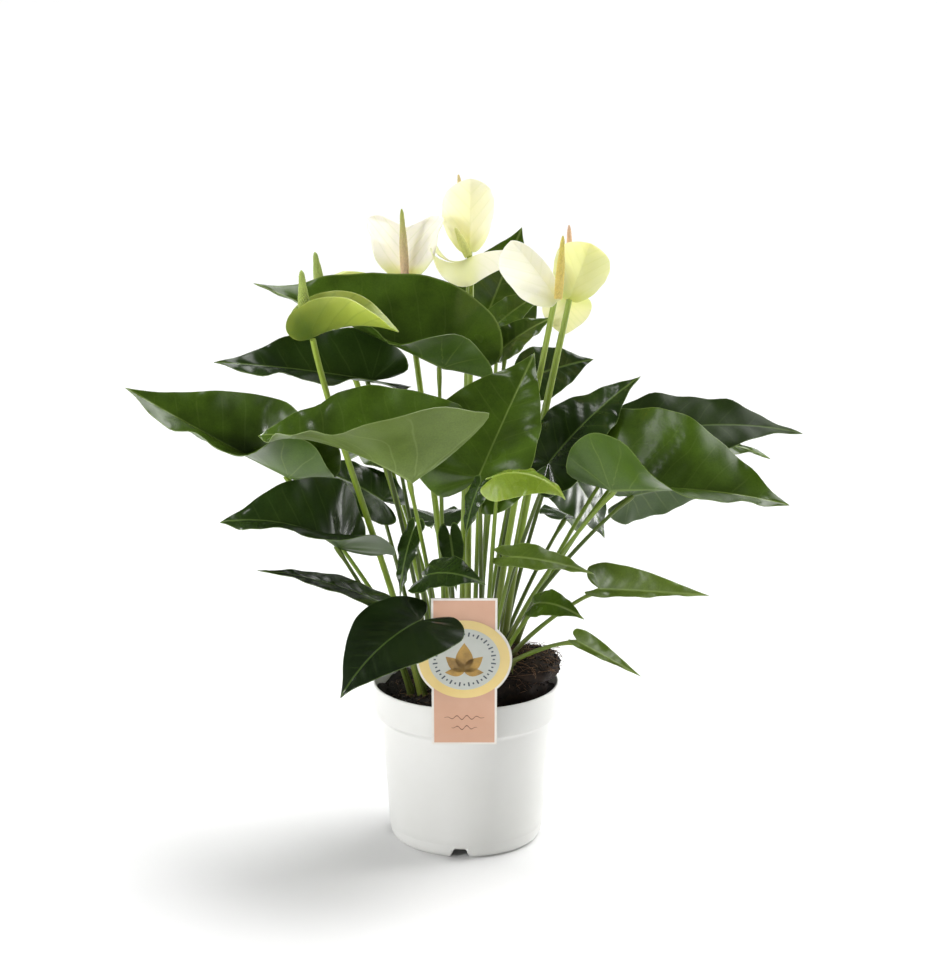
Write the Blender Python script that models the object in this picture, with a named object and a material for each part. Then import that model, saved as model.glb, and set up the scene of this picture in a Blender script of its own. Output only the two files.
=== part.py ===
"""A white anthurium in a 12 cm nursery pot, built from hand-set leaf and flower poses.

Sizes in the tables are millimetres. The front of the plant is -Y, and the origin is on the ground
under the pot's axis.
"""
import math

import bmesh
import bpy
import numpy as np
from mathutils import Matrix, Vector

MM = 0.001

# Pot
RIM_RADIUS = 60.0
RIM_HEIGHT = 104.5
COLLAR_BOTTOM = 84.0
COLLAR_DRAFT = 0.9
WALL_TOP_RADIUS = 54.5
WALL_BOTTOM_RADIUS = 49.5
WALL_THICKNESS = 1.4
FOOT_RADIUS = 44.5
FLOOR_HEIGHT = 9.0
POT_SIDES = 40
NOTCHES = 4
NOTCH_TURN = -94.5
NOTCH_HEIGHT = 7.0
NOTCH_WIDTH = 9.0
NOTCH_FOOT_WIDTH = 14.0
DRAIN_RADIUS = 4.0
DRAIN_CIRCLE = 28.0

# Peat, the root lumps that stand out of it on the right, as (centre, radii), and the stems' holes
CLEARANCE = 0.35
PEAT_LEVEL = 97.0
ROOT_LUMPS = (((22.0, -4.0, 104.0), (32.0, 30.0, 25.0)), ((40.0, -8.0, 117.0), (21.0, 24.0, 11.0)))
HOLE_DEPTH = 9.0
HOLE_RADIUS = 2.1

# Label
LABEL_WIDTH = 40.5
LABEL_LENGTH = 106.0
LABEL_THICKNESS = 0.8
LABEL_DISC_RADIUS = 29.5
LABEL_DISC_DROP = 43.5
LABEL_LEAN = 14.0
LABEL_FOOT_HEIGHT = 81.5
LABEL_X = -1.0
LABEL_ARC_STEPS = 12

# Blades, stems and spadices
BLADE_THICKNESS = 0.8
SPATHE_THICKNESS = 0.8
BLADE_ROWS = 10
BLADE_COLUMNS = 2
PETIOLE_RADIUS = 1.4
PETIOLE_TOP_RADIUS = 1.0
STALK_RADIUS = 1.6
STALK_TOP_RADIUS = 1.3
STEM_SIDES = 5
STEM_STEPS = 7
KNEE_RADIUS = 1.5
SPADIX_SIDES = 8
SPADIX_RINGS = 11
# How far along the midrib a spathe is held, in midrib lengths
SEAT_STATION = 0.03
# The outlines' half width and the reach of their back lobes, in midrib lengths
HALF_WIDTH = 0.365
LOBE_REACH = 0.235
# Twice the smallest flat triangle that a blade keeps, in midrib lengths squared
FLAT_SLIVER = 1e-6

# Half outlines as (along, across) in midrib lengths, from the tip to the notch
LEAF_OUTLINE = ((1.0, 0.0), (0.90, 0.04), (0.76, 0.12), (0.56, 0.235), (0.34, 0.325), (0.12, 0.365),
                (-0.08, 0.335), (-0.20, 0.235), (-0.23, 0.13), (-0.16, 0.065), (0.0, 0.0))
HEART_OUTLINE = ((1.0, 0.0), (0.93, 0.075), (0.78, 0.2), (0.56, 0.33), (0.32, 0.40), (0.1, 0.40),
                 (-0.06, 0.34), (-0.14, 0.24), (-0.15, 0.13), (-0.10, 0.04), (0.0, 0.0))
CUP_OUTLINE = ((1.0, 0.0), (0.98, 0.07), (0.86, 0.24), (0.66, 0.35), (0.42, 0.37), (0.2, 0.30),
               (0.05, 0.18), (-0.02, 0.08), (0.0, 0.0))
BROAD_OUTLINE = ((1.0, 0.0), (0.92, 0.1), (0.72, 0.26), (0.42, 0.38), (0.1, 0.44), (-0.22, 0.44),
                 (-0.45, 0.35), (-0.52, 0.24), (-0.36, 0.12), (0.0, 0.0))

# One leaf a line: where its petiole leaves the peat, where the blade is joined, where its tip is,
# and how the blade is turned and bent, in degrees
LEAVES = {
    "leaf_01": dict(root=(-14, 5), joint=(-14, 4, 309), tip=(-133, 12, 361), wide=1.08, roll=-20,
                    droop=4, fold=((90, 34), (45, 45)), curl=(0, -5), sides=(0.5, 1.0), reach=0.3),
    "leaf_02": dict(root=(-22, 9), joint=(-60, 15, 298), tip=(-158, 0, 313), wide=0.9, roll=-40,
                    droop=10, fold=((50, 40), (20, 15)), curl=(0, 0)),
    "leaf_03": dict(root=(-27, 3), joint=(-113, 12, 236), tip=(-215, 8, 295), wide=1.0, roll=-42,
                    droop=-8, fold=((78, 38), (55, 24)), curl=(25, 15)),
    "leaf_04": dict(root=(-12, -11), joint=(-32, -72, 254), tip=(-128, -40, 275), wide=1.25, roll=-45,
                    droop=75, fold=((125, 72), (10, 10)), curl=(0, -5), sides=(1.3, 1.0), reach=0.42),
    "leaf_05": dict(root=(-21, 24), joint=(-46, 46, 256), tip=(-62, 72, 254), wide=0.7, droop=20,
                    fold=((5, 5), (5, 5))),
    "leaf_06": dict(root=(5, -15), joint=(8, -48, 251), tip=(43, -8, 321), wide=1.08, roll=38, droop=28,
                    fold=((0, 0), (40, 40)), curl=(6, -12), lobe=(-20, -40)),
    "leaf_07": dict(root=(10, -8), joint=(8, -66, 249), tip=(0, -71, 219), wide=0.85, droop=20,
                    fold=((5, 5), (5, 5))),
    "leaf_08": dict(root=(13, -18), joint=(18, -80, 260), tip=(60, -84, 246), wide=0.9, roll=30,
                    droop=100, fold=((-25, -25), (-25, -25)), curl=(-20, -20)),
    "leaf_09": dict(root=(16, 13), joint=(43, 62, 291), tip=(83, 67, 301), wide=1.3, roll=48, droop=15,
                    fold=((6, 6), (6, 6))),
    "leaf_10": dict(root=(8, 2), joint=(24, 26, 317), tip=(56, 30, 336), wide=0.9, roll=40, droop=30,
                    fold=((20, 20), (20, 20))),
    "leaf_11": dict(root=(5, 27), joint=(12, 104, 318), tip=(37, 116, 380), wide=1.3, roll=60, droop=10,
                    fold=((10, 10), (10, 10))),
    "leaf_12": dict(root=(9, 16), joint=(20, 80, 321), tip=(53, 80, 344), wide=0.9, roll=45, droop=30,
                    fold=((12, 12), (12, 12))),
    "leaf_13": dict(root=(18, -4), joint=(52, -23, 254), tip=(109, -9, 306), wide=1.0, roll=28,
                    droop=25, fold=((8, 8), (8, 8))),
    "leaf_14": dict(root=(33, 7), joint=(104, 42, 254), tip=(216, 30, 260), wide=0.75, roll=32,
                    droop=40, fold=((8, 8), (8, 8))),
    "leaf_15": dict(root=(26, -9), joint=(89, -56, 245), tip=(196, -78, 241), wide=1.45, roll=40,
                    droop=30, fold=((10, 10), (115, 60)), curl=(-5, -5), reach=0.42, sides=(1.0, 0.68)),
    "leaf_16": dict(root=(26, -1), joint=(105, 12, 224), tip=(168, 18, 224), wide=1.0, roll=-60,
                    droop=40, fold=((0, 0), (-10, -10))),
    "leaf_17": dict(root=(31, 15), joint=(112, 62, 240), tip=(200, 68, 234), wide=0.8, roll=15,
                    droop=50, fold=((5, 5), (5, 5))),
    "leaf_18": dict(root=(24, 22), joint=(58, 60, 240), tip=(92, 75, 178), wide=1.1, roll=62, droop=30,
                    fold=((5, 5), (5, 5))),
    "leaf_19": dict(root=(31, -16), joint=(84, -30, 174), tip=(152, -45, 174), wide=0.5, roll=62,
                    droop=15, fold=((15, 15), (10, 10))),
    "leaf_20": dict(root=(15, -27), joint=(28, -48, 200), tip=(79, -62, 193), wide=0.55, roll=38,
                    droop=30, fold=((5, 5), (5, 5))),
    "leaf_21": dict(root=(23, -24), joint=(44, -52, 171), tip=(73, -66, 165), wide=0.8, roll=40,
                    droop=85, fold=((5, 5), (5, 5))),
    "leaf_22": dict(root=(30, -25), joint=(70, -48, 145), tip=(109, -70, 129), wide=0.3, roll=60,
                    droop=20, fold=((15, 15), (10, 10))),
    "leaf_23": dict(root=(-36, -13), joint=(-57, -32, 167), tip=(-130, -40, 189), wide=0.4, roll=-8,
                    droop=20, fold=((10, 10), (10, 10))),
    "leaf_24": dict(root=(-35, -3), joint=(-80, -22, 199), tip=(-153, -37, 219), wide=1.3, roll=-50,
                    droop=90, fold=((90, 64), (10, 10)), curl=(-15, -5), lobe=(20, 20)),
    "leaf_25": dict(root=(-28, 14), joint=(-55, 45, 212), tip=(-114, 62, 232), wide=0.8, roll=-35,
                    droop=40, fold=((6, 6), (6, 6))),
    "leaf_26": dict(root=(-19, -12), joint=(-33, -34, 212), tip=(-41, -49, 174), wide=0.6, roll=20,
                    droop=20, fold=((5, 5), (5, 5))),
    "leaf_27": dict(root=(-26, -20), joint=(-28, -95, 173), tip=(-75, -128, 135), wide=1.45, roll=-10,
                    droop=45, fold=((5, 5), (5, 5)), sway=(-9, 0, 0)),
    "leaf_28": dict(root=(-18, -22), joint=(-24, -62, 192), tip=(12, -88, 194), wide=1.0, roll=28,
                    droop=50, fold=((5, 5), (5, 5))),
    "leaf_29": dict(root=(-7, -4), joint=(-10, -20, 206), tip=(-6, -30, 172), wide=0.6, roll=10,
                    droop=20, fold=((5, 5), (5, 5))),
    "leaf_30": dict(root=(-12, 33), joint=(-50, 76, 230), tip=(-80, 134, 216), wide=0.9, droop=50),
    "leaf_31": dict(root=(10, 38), joint=(34, 84, 234), tip=(60, 135, 222), wide=0.7, droop=55),
    "leaf_32": dict(root=(-2, 36), joint=(-20, 74, 190), tip=(-24, 135, 168), wide=0.8, droop=50),
    "leaf_33": dict(root=(17, 29), joint=(66, 84, 190), tip=(76, 134, 166), wide=0.85, droop=50),
}

# One flower a line: its stalk's root, the spathe's joint and tip, the spadix's tip and thickness
FLOWERS = {
    "flower_01": dict(root=(-29, -10), joint=(-96, -34, 335), tip=(-41, -38, 340), wide=1.05, droop=50,
                      fold=((58, 58), (58, 58)), curl=(10, 10), spadix=(-100, -36, 378), thick=7.5,
                      sway=(-9, 12, 0)),
    "flower_02": dict(root=(-15, 19), joint=(-91, 40, 347), tip=(-56, 48, 359), wide=0.9, roll=-10,
                      droop=40, fold=((40, 40), (40, 40)), spadix=(-96, 42, 376), thick=6.5,
                      sway=(0, 8, 0)),
    "flower_03": dict(root=(-8, 15), joint=(-39, 55, 356), tip=(-38, 75, 392), wide=2.0, droop=-10,
                      fold=((20, 20), (20, 20)), curl=(50, 50), shape="cup", spadix=(-41, 53, 402)),
    "flower_04": dict(root=(-3, 25), joint=(2, 76, 370), tip=(3, 68, 419), wide=1.15, droop=-15,
                      fold=((20, 20), (20, 20)), curl=(35, 35), shape="cup", spadix=(-5, 88, 419)),
    "flower_05": dict(root=(1, 8), joint=(1, 50, 370), tip=(44, 46, 372), wide=1.0, roll=8, droop=50,
                      fold=((-35, -25), (-35, -25)), curl=(-15, -15), shape="broad",
                      spadix=(-7, 53, 390), lobe=(-12, -12)),
    "flower_06": dict(root=(18, 5), joint=(57, 0, 352), tip=(28, 12, 388), wide=1.5, roll=-40, droop=20,
                      fold=((12, 12), (12, 12)), curl=(15, 15), shape="cup", spadix=(60, -4, 394),
                      sides=(1.0, 0.3)),
    "flower_07": dict(root=(25, 9), joint=(65, 20, 349), tip=(90, 22, 363), wide=2.2, roll=-14,
                      droop=40, fold=((74, 74), (74, 74)), curl=(0, 0), spadix=(65, 32, 395),
                      sides=(1.0, 0.8)),
    "flower_08": dict(root=(23, 15), joint=(65, 42, 345), tip=(62, 32, 324), wide=1.7, droop=10,
                      fold=((5, 5), (5, 5)), spadix=(72, 46, 360)),
}
OUTLINES = {"heart": HEART_OUTLINE, "cup": CUP_OUTLINE, "broad": BROAD_OUTLINE}


def clear_scene():
    """Remove the startup objects."""
    for item in list(bpy.data.objects):
        bpy.data.objects.remove(item, do_unlink=True)


def make_material(name, colour, roughness, metallic=0.0):
    material = bpy.data.materials.new(name)
    material.use_nodes = True
    shader = material.node_tree.nodes["Principled BSDF"]
    shader.inputs["Base Color"].default_value = (*colour, 1.0)
    shader.inputs["Roughness"].default_value = roughness
    shader.inputs["Metallic"].default_value = metallic
    return material


def turn_about(axis, angle):
    return np.array(Matrix.Rotation(angle, 3, Vector(axis)))


def smooth_through(knots, values, places):
    """Cubic curve through values at knots, read at places."""
    slopes = np.gradient(values, knots)
    index = np.clip(np.searchsorted(knots, places, side="right") - 1, 0, len(knots) - 2)
    step = knots[index + 1] - knots[index]
    t = (places - knots[index]) / step
    start = (2 * t**3 - 3 * t**2 + 1) * values[index] + (t**3 - 2 * t**2 + t) * step * slopes[index]
    end = (3 * t**2 - 2 * t**3) * values[index + 1] + (t**3 - t**2) * step * slopes[index + 1]
    return start + end


class Blade:
    """A leaf or spathe: a flat heart bent along its midrib and across it."""

    def __init__(self, joint, tip, wide=1.0, roll=0.0, droop=40.0, fold=((18, 18), (18, 18)),
                 curl=(-10, -10), lobe=(0, 0), sides=(1.0, 1.0), reach=0.42, outline=LEAF_OUTLINE):
        self.joint = np.array(joint, float)
        self.wide = wide
        self.fold = np.radians(fold)
        self.curl = np.radians(curl)
        self.lobe = np.radians(lobe)
        self.sides = sides
        self.reach = reach
        self.outline = outline
        self.droop = math.radians(droop) + 1e-6
        self.place_midrib(np.array(tip, float), math.radians(roll))

    def place_midrib(self, tip, roll):
        """Fit the midrib's arc between joint and tip, top face up, then turned by roll."""
        chord = tip - self.joint
        half = self.droop / 2
        self.length = np.linalg.norm(chord) * half / math.sin(half)
        along = chord / np.linalg.norm(chord)
        up = np.array([0.0, 0.0, 1.0]) - along * along[2]
        up = turn_about(along, roll) @ (up / np.linalg.norm(up))
        self.across = np.cross(up, along)
        self.along = along * math.cos(half) + up * math.sin(half)
        self.up = up * math.cos(half) - along * math.sin(half)

    def midrib(self, a):
        """Point, direction and normal of the midrib at a lengths from the joint."""
        bend = self.droop * np.clip(a, 0, 1)[..., None]
        radius = self.length / self.droop
        point = self.joint + radius * (self.along * np.sin(bend) - self.up * (1 - np.cos(bend)))
        forward = self.along * np.cos(bend) - self.up * np.sin(bend)
        normal = self.up * np.cos(bend) + self.along * np.sin(bend)
        return point, forward, normal

    def place(self, flat):
        """Flat (along, across) in lengths to points of the bent blade."""
        a = flat[..., 0]
        b = flat[..., 1]
        left = b >= 0
        width = np.abs(b)
        t = np.clip(a / self.reach, 0, 1)
        base = 1 - t * t * (3 - 2 * t)
        fade = np.clip(2 * (1 - a), 0.2, 1) ** 0.6
        fold_left = self.fold[0][1] + (self.fold[0][0] - self.fold[0][1]) * base
        fold_right = self.fold[1][1] + (self.fold[1][0] - self.fold[1][1]) * base
        fold = np.where(left, fold_left, fold_right) * fade
        bend = np.where(left, self.curl[0], self.curl[1]) / (HALF_WIDTH * self.wide) + 1e-6
        across = (np.sin(fold + bend * width) - np.sin(fold)) / bend
        lift = (np.cos(fold) - np.cos(fold + bend * width)) / bend
        rise = np.where(left, self.lobe[0], self.lobe[1]) / LOBE_REACH + 1e-6
        back = np.clip(-a, 0, 1)
        along = -np.sin(rise * back) / rise
        lift = lift + (1 - np.cos(rise * back)) / rise
        point, forward, normal = self.midrib(a)
        side = np.where(left, across, -across)[..., None]
        bent = forward * along[..., None] + self.across * side + normal * lift[..., None]
        return point + self.length * bent

    def flat_grid(self, rows, columns):
        """Rows from the tip to the notch, columns from edge to edge over the midrib."""
        outline = np.array(self.outline)
        steps = np.hypot(*np.diff(outline, axis=0).T)
        knots = np.concatenate([[0.0], np.cumsum(steps)])
        places = np.linspace(0, knots[-1], rows)
        edge_a = smooth_through(knots, outline[:, 0], places)
        edge_b = smooth_through(knots, outline[:, 1], places) * self.wide
        mid_a = np.where(edge_a > 0, edge_a + 0.1 * (1 - edge_a), 0.0)
        mid_a = np.minimum.accumulate(np.clip(mid_a, 0, 1))
        share = np.abs(np.arange(-columns, columns + 1)) / columns
        scale = np.where(np.arange(-columns, columns + 1) < 0, -self.sides[1], self.sides[0])
        along = mid_a[:, None] * (1 - share) + edge_a[:, None] * share
        across = edge_b[:, None] * share * scale
        return np.stack([along, across], -1)

    def normals(self, flat):
        """Unit normals of the bent blade by small steps on the flat one."""
        step = 0.01
        inner = flat.copy()
        inner[..., 0] = np.minimum(inner[..., 0], 1 - 2 * step)
        shift_a = np.array([step, 0.0])
        shift_b = np.array([0.0, step])
        slope_a = self.place(inner + shift_a) - self.place(inner - shift_a)
        slope_b = self.place(inner + shift_b) - self.place(inner - shift_b)
        normal = np.cross(slope_a, slope_b)
        return normal / np.linalg.norm(normal, axis=-1, keepdims=True)


def blade_mesh(blade, thickness, rows=BLADE_ROWS, columns=BLADE_COLUMNS):
    """Vertices and faces of a closed blade, split alike on both faces."""
    grid = blade.flat_grid(rows, columns)
    flat = []
    index = np.empty(grid.shape[:2], int)
    seen = {}
    for row in range(grid.shape[0]):
        for column in range(grid.shape[1]):
            key = (round(grid[row, column, 0], 5), round(grid[row, column, 1], 5))
            if key not in seen:
                seen[key] = len(flat)
                flat.append(grid[row, column])
            index[row, column] = seen[key]
    flat = np.array(flat)
    middle = blade.place(flat)
    offset = blade.normals(flat) * thickness / 2
    count = len(flat)
    faces = []
    for row in range(grid.shape[0] - 1):
        for column in range(grid.shape[1] - 1):
            corners = [index[row, column], index[row + 1, column],
                       index[row + 1, column + 1], index[row, column + 1]]
            if column < columns:
                corners = corners[1:] + corners[:1]
            for triangle in ((corners[0], corners[1], corners[2]), (corners[0], corners[2], corners[3])):
                first, second, third = flat[list(triangle)]
                if abs(np.linalg.det([second - first, third - first])) > FLAT_SLIVER:
                    faces.append(triangle)
    border = {}
    for triangle in faces:
        for first, second in zip(triangle, triangle[1:] + triangle[:1]):
            border[(first, second)] = border.get((first, second), 0) + 1
    rim = [edge for edge in border if (edge[1], edge[0]) not in border]
    under = [tuple(count + corner for corner in reversed(triangle)) for triangle in faces]
    wall = []
    for first, second in rim:
        wall.append((second, first, count + first))
        wall.append((second, count + first, count + second))
    points = np.concatenate([middle + offset, middle - offset])
    return points, faces + under + wall


def tube_mesh(path, radii, sides):
    """A capped tube along a path, with its rings carried without twist."""
    path = np.array(path, float)
    forward = np.gradient(path, axis=0)
    forward /= np.linalg.norm(forward, axis=1, keepdims=True)
    side = np.cross(forward[0], (0.0, 1.0, 0.0))
    points = []
    for place, direction, radius in zip(path, forward, radii):
        side = side - direction * (side @ direction)
        side /= np.linalg.norm(side)
        up = np.cross(direction, side)
        for step in range(sides):
            angle = 2 * math.pi * step / sides
            points.append(place + radius * (side * math.cos(angle) + up * math.sin(angle)))
    faces = []
    for ring in range(len(path) - 1):
        for step in range(sides):
            a = ring * sides + step
            b = ring * sides + (step + 1) % sides
            faces.append((a, b, b + sides, a + sides))
    last = (len(path) - 1) * sides
    faces.append(tuple(range(sides - 1, -1, -1)))
    faces.append(tuple(last + step for step in range(sides)))
    return np.array(points), faces


def add_object(name, points, faces, material, smooth=True):
    mesh = bpy.data.meshes.new(name)
    mesh.from_pydata([tuple(point) for point in np.asarray(points) * MM], [], faces)
    work = bmesh.new()
    work.from_mesh(mesh)
    bmesh.ops.remove_doubles(work, verts=work.verts, dist=1e-6)
    bmesh.ops.recalc_face_normals(work, faces=work.faces)
    bmesh.ops.triangulate(work, faces=[face for face in work.faces if len(face.verts) > 4])
    work.to_mesh(mesh)
    work.free()
    item = bpy.data.objects.new(name, mesh)
    bpy.context.scene.collection.objects.link(item)
    if material:
        mesh.materials.append(material)
    if smooth:
        mesh.shade_smooth()
        mesh.set_sharp_from_angle(angle=math.radians(50))
    return item


def fuse(item, others, operation="UNION"):
    """Join others to item, or cut them from it, with one Boolean, and remove them."""
    group = bpy.data.collections.new(item.name + "_parts")
    for other in others:
        group.objects.link(other)
        other.hide_render = True
        other.display_type = "WIRE"
    modifier = item.modifiers.new("fuse", "BOOLEAN")
    modifier.operation = operation
    modifier.operand_type = "COLLECTION"
    modifier.collection = group
    modifier.solver = "MANIFOLD"
    graph = bpy.context.evaluated_depsgraph_get()
    fused = bpy.data.meshes.new_from_object(item.evaluated_get(graph))
    item.modifiers.clear()
    item.data = fused
    for other in others:
        bpy.data.objects.remove(other, do_unlink=True)
    bpy.data.collections.remove(group)
    return item


def peat_level(x, y):
    """Surface of the loose peat at a place."""
    return PEAT_LEVEL + 2.0 * math.sin(0.11 * x + 0.4) * math.cos(0.13 * y) + 1.2 * math.sin(0.23 * y)


def soil_height(x, y):
    """Surface of the peat, or of a root lump that stands out of it, at a place."""
    level = peat_level(x, y)
    for centre, radii in ROOT_LUMPS:
        inside = 1 - ((x - centre[0]) / radii[0])**2 - ((y - centre[1]) / radii[1])**2
        if inside > 0:
            level = max(level, centre[2] + radii[2] * math.sqrt(inside))
    return level


def bezier(start, first, second, end, steps):
    """Points of a cubic curve between start and end."""
    t = np.linspace(0, 1, steps + 1)[:, None]
    return ((1 - t)**3 * start + 3 * (1 - t)**2 * t * first
            + 3 * (1 - t) * t**2 * second + t**3 * end)


def stem_path(root, end, bow=0.12, sway=(0, 0, 0)):
    """Straight up out of its hole in the peat, then bowed over to its end."""
    surface = soil_height(*root)
    foot = np.array([root[0], root[1], surface - HOLE_DEPTH + CLEARANCE])
    collar = np.array([root[0], root[1], surface + 2.0])
    run = np.array(end, float) - collar
    reach = math.hypot(run[0], run[1])
    sway = np.array(sway, float)
    first = collar + np.array([0.2 * run[0], 0.2 * run[1], 0.33 * run[2]]) + sway / 2
    second = collar + 0.7 * run + np.array([0, 0, bow * reach]) + sway
    curve = bezier(collar, first, second, np.array(end, float), STEM_STEPS)
    return np.concatenate([[foot], curve])


def stem_mesh(root, end, base, top, bow, sway):
    path = stem_path(root, end, bow, sway)
    radii = np.interp(np.linspace(0, 1, len(path)), [0, 1], [base, top])
    return tube_mesh(path, radii, STEM_SIDES)


def knee(place):
    """The swollen joint where a petiole meets its blade."""
    mesh = bpy.data.meshes.new("knee")
    work = bmesh.new()
    bmesh.ops.create_icosphere(work, subdivisions=1, radius=KNEE_RADIUS * MM,
                               matrix=Matrix.Translation(Vector(place) * MM))
    work.to_mesh(mesh)
    work.free()
    item = bpy.data.objects.new("knee", mesh)
    bpy.context.scene.collection.objects.link(item)
    return item


def make_leaf(name, root, bow=0.12, sway=(0, 0, 0), rows=BLADE_ROWS, material=None, **pose):
    """A blade grown in one piece with its petiole, which starts in its hole in the peat."""
    blade = Blade(**pose)
    item = add_object(name, *blade_mesh(blade, BLADE_THICKNESS, rows), material)
    start, _, normal = blade.midrib(np.array(0.02))
    seat = start - normal * (KNEE_RADIUS - 0.25)
    stem = add_object(name + "_petiole", *stem_mesh(root, seat, PETIOLE_RADIUS, PETIOLE_TOP_RADIUS,
                                                    bow, sway), material)
    return fuse(item, [stem, knee(seat)])


def spadix_mesh(start, end, thickness):
    """A tapered spike whose florets are a lattice of bumps."""
    start = np.array(start, float)
    end = np.array(end, float)
    axis = (end - start) / np.linalg.norm(end - start)
    side = np.cross(axis, (0.0, 1.0, 0.0))
    side /= np.linalg.norm(side)
    up = np.cross(axis, side)
    points = []
    for ring in range(SPADIX_RINGS):
        t = ring / (SPADIX_RINGS - 1)
        profile = 0.72 + 0.28 * math.sin(math.pi * min(1.0, 0.25 + t)) - 0.35 * t**4
        for step in range(SPADIX_SIDES):
            angle = 2 * math.pi * (step + 0.5 * (ring % 2)) / SPADIX_SIDES
            bump = 1 + 0.07 * math.cos(math.pi * (step + ring // 2))
            radius = thickness / 2 * profile * bump
            points.append(start + (end - start) * (0.98 * t)
                          + radius * (side * math.cos(angle) + up * math.sin(angle)))
    faces = []
    for ring in range(SPADIX_RINGS - 1):
        for step in range(SPADIX_SIDES):
            following = (step + 1) % SPADIX_SIDES
            a = ring * SPADIX_SIDES + step
            b = ring * SPADIX_SIDES + following
            c = a + SPADIX_SIDES
            d = b + SPADIX_SIDES
            if ring % 2:
                faces += [(a, b, d), (a, d, c)]
            else:
                faces += [(a, b, c), (b, d, c)]
    points.append(start)
    points.append(end)
    last = (SPADIX_RINGS - 1) * SPADIX_SIDES
    for step in range(SPADIX_SIDES):
        following = (step + 1) % SPADIX_SIDES
        faces.append((following, step, len(points) - 2))
        faces.append((last + step, last + following, len(points) - 1))
    return np.array(points), faces


def spathe_seat(blade, side, direction, radius):
    """Where a round end that points along direction just clears one side of the folded spathe."""
    joint, _, normal = blade.midrib(np.array(SEAT_STATION))
    direction = direction / np.linalg.norm(direction)
    height = 0.0
    for fold, across in ((blade.fold[0][0], -blade.across), (blade.fold[1][0], blade.across)):
        folded_over = side * fold > 0
        wall = normal * math.cos(fold) + across * math.sin(fold) if folded_over else normal
        reach = radius * math.sqrt(max(0.0, 1 - (wall @ direction)**2))
        clear = SPATHE_THICKNESS / 2 + CLEARANCE + reach
        height = max(height, clear / math.cos(fold) if folded_over else clear)
    return joint + side * height * normal


def make_flower(name, root, spadix, thick=5.5, bow=0.12, sway=(0, 0, 0), shape="heart",
                materials=None, **pose):
    """Stalk, spathe and spadix, each its own piece, stacked with a small gap."""
    blade = Blade(outline=OUTLINES[shape], **pose)
    joint, _, normal = blade.midrib(np.array(SEAT_STATION))
    add_object(name + "_spathe", *blade_mesh(blade, SPATHE_THICKNESS), materials["spathe"])
    towards = np.array(spadix, float) - joint
    side = 1.0 if towards @ normal > 0 else -1.0
    above = spathe_seat(blade, side, towards, thick / 2)
    run = stem_path(root, joint, bow, sway)
    below = spathe_seat(blade, -side, run[-1] - run[-2], STALK_TOP_RADIUS)
    add_object(name + "_stalk", *stem_mesh(root, below, STALK_RADIUS, STALK_TOP_RADIUS, bow, sway),
               materials["stalk"])
    add_object(name + "_spadix", *spadix_mesh(above, spadix, thick), materials["spadix"])


def lathe(name, profile, sides, material):
    """Turn a closed outline of (radius, height) about the pot's axis."""
    points = []
    for radius, height in profile:
        for step in range(sides):
            angle = 2 * math.pi * step / sides
            points.append((radius * math.cos(angle), radius * math.sin(angle), height))
    faces = []
    for ring in range(len(profile) - 1):
        for step in range(sides):
            a = ring * sides + step
            b = ring * sides + (step + 1) % sides
            faces.append((a, b, b + sides, a + sides))
    return add_object(name, points, faces, material)


def pot_profile():
    """The pot's wall in section, from under the floor, round the outside, to its inner floor."""
    inner_rim = RIM_RADIUS - WALL_THICKNESS
    return ((0, FLOOR_HEIGHT), (FOOT_RADIUS - 3.0, FLOOR_HEIGHT), (FOOT_RADIUS - 3.0, 0),
            (FOOT_RADIUS, 0), (FOOT_RADIUS + 2.8, 1.6), (WALL_BOTTOM_RADIUS - 0.6, 4.6),
            (WALL_BOTTOM_RADIUS, 9.0), (WALL_TOP_RADIUS, COLLAR_BOTTOM - 4.5),
            (RIM_RADIUS - COLLAR_DRAFT, COLLAR_BOTTOM), (RIM_RADIUS, RIM_HEIGHT - 1.0),
            (RIM_RADIUS - 0.5, RIM_HEIGHT), (inner_rim, RIM_HEIGHT),
            (inner_rim - COLLAR_DRAFT, COLLAR_BOTTOM + 1.0), (WALL_TOP_RADIUS - 1.8, COLLAR_BOTTOM - 3.5),
            (WALL_BOTTOM_RADIUS - WALL_THICKNESS, FLOOR_HEIGHT + 5.0),
            (WALL_BOTTOM_RADIUS - 4.0, FLOOR_HEIGHT + 2.0), (0, FLOOR_HEIGHT + 2.0))


def notch_cutter(turn):
    """A trapezoid prism that runs out through the foot ring."""
    low = NOTCH_FOOT_WIDTH / 2 + 1.0
    high = NOTCH_WIDTH / 2
    section = ((-low, -2.0), (low, -2.0), (high, NOTCH_HEIGHT), (-high, NOTCH_HEIGHT))
    spin = turn_about((0, 0, 1), math.radians(turn))
    points = []
    for distance in (FOOT_RADIUS - 8.0, WALL_BOTTOM_RADIUS + 5.0):
        for across, height in section:
            points.append(spin @ np.array([distance, across, height]))
    faces = [(0, 3, 2, 1), (4, 5, 6, 7)]
    for step in range(4):
        following = (step + 1) % 4
        faces.append((step, following, following + 4, step + 4))
    return add_object("notch", points, faces, None, smooth=False)


def drain_cutter(x, y):
    """A short rod through the pot's floor."""
    path = [(x, y, FLOOR_HEIGHT - 3.0), (x, y, FLOOR_HEIGHT + 5.0)]
    return add_object("drain", *tube_mesh(path, [DRAIN_RADIUS] * 2, 12), None, smooth=False)


def make_pot(material):
    """The thin-walled pot with its notched foot and its drain holes."""
    pot = lathe("pot", pot_profile(), POT_SIDES, material)
    cutters = [drain_cutter(0, 0)]
    for step in range(NOTCHES):
        turn = NOTCH_TURN + 360 * step / NOTCHES
        cutters.append(notch_cutter(turn))
        angle = math.radians(turn + 180 / NOTCHES)
        cutters.append(drain_cutter(DRAIN_CIRCLE * math.cos(angle), DRAIN_CIRCLE * math.sin(angle)))
    return fuse(pot, cutters, "DIFFERENCE")


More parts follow.
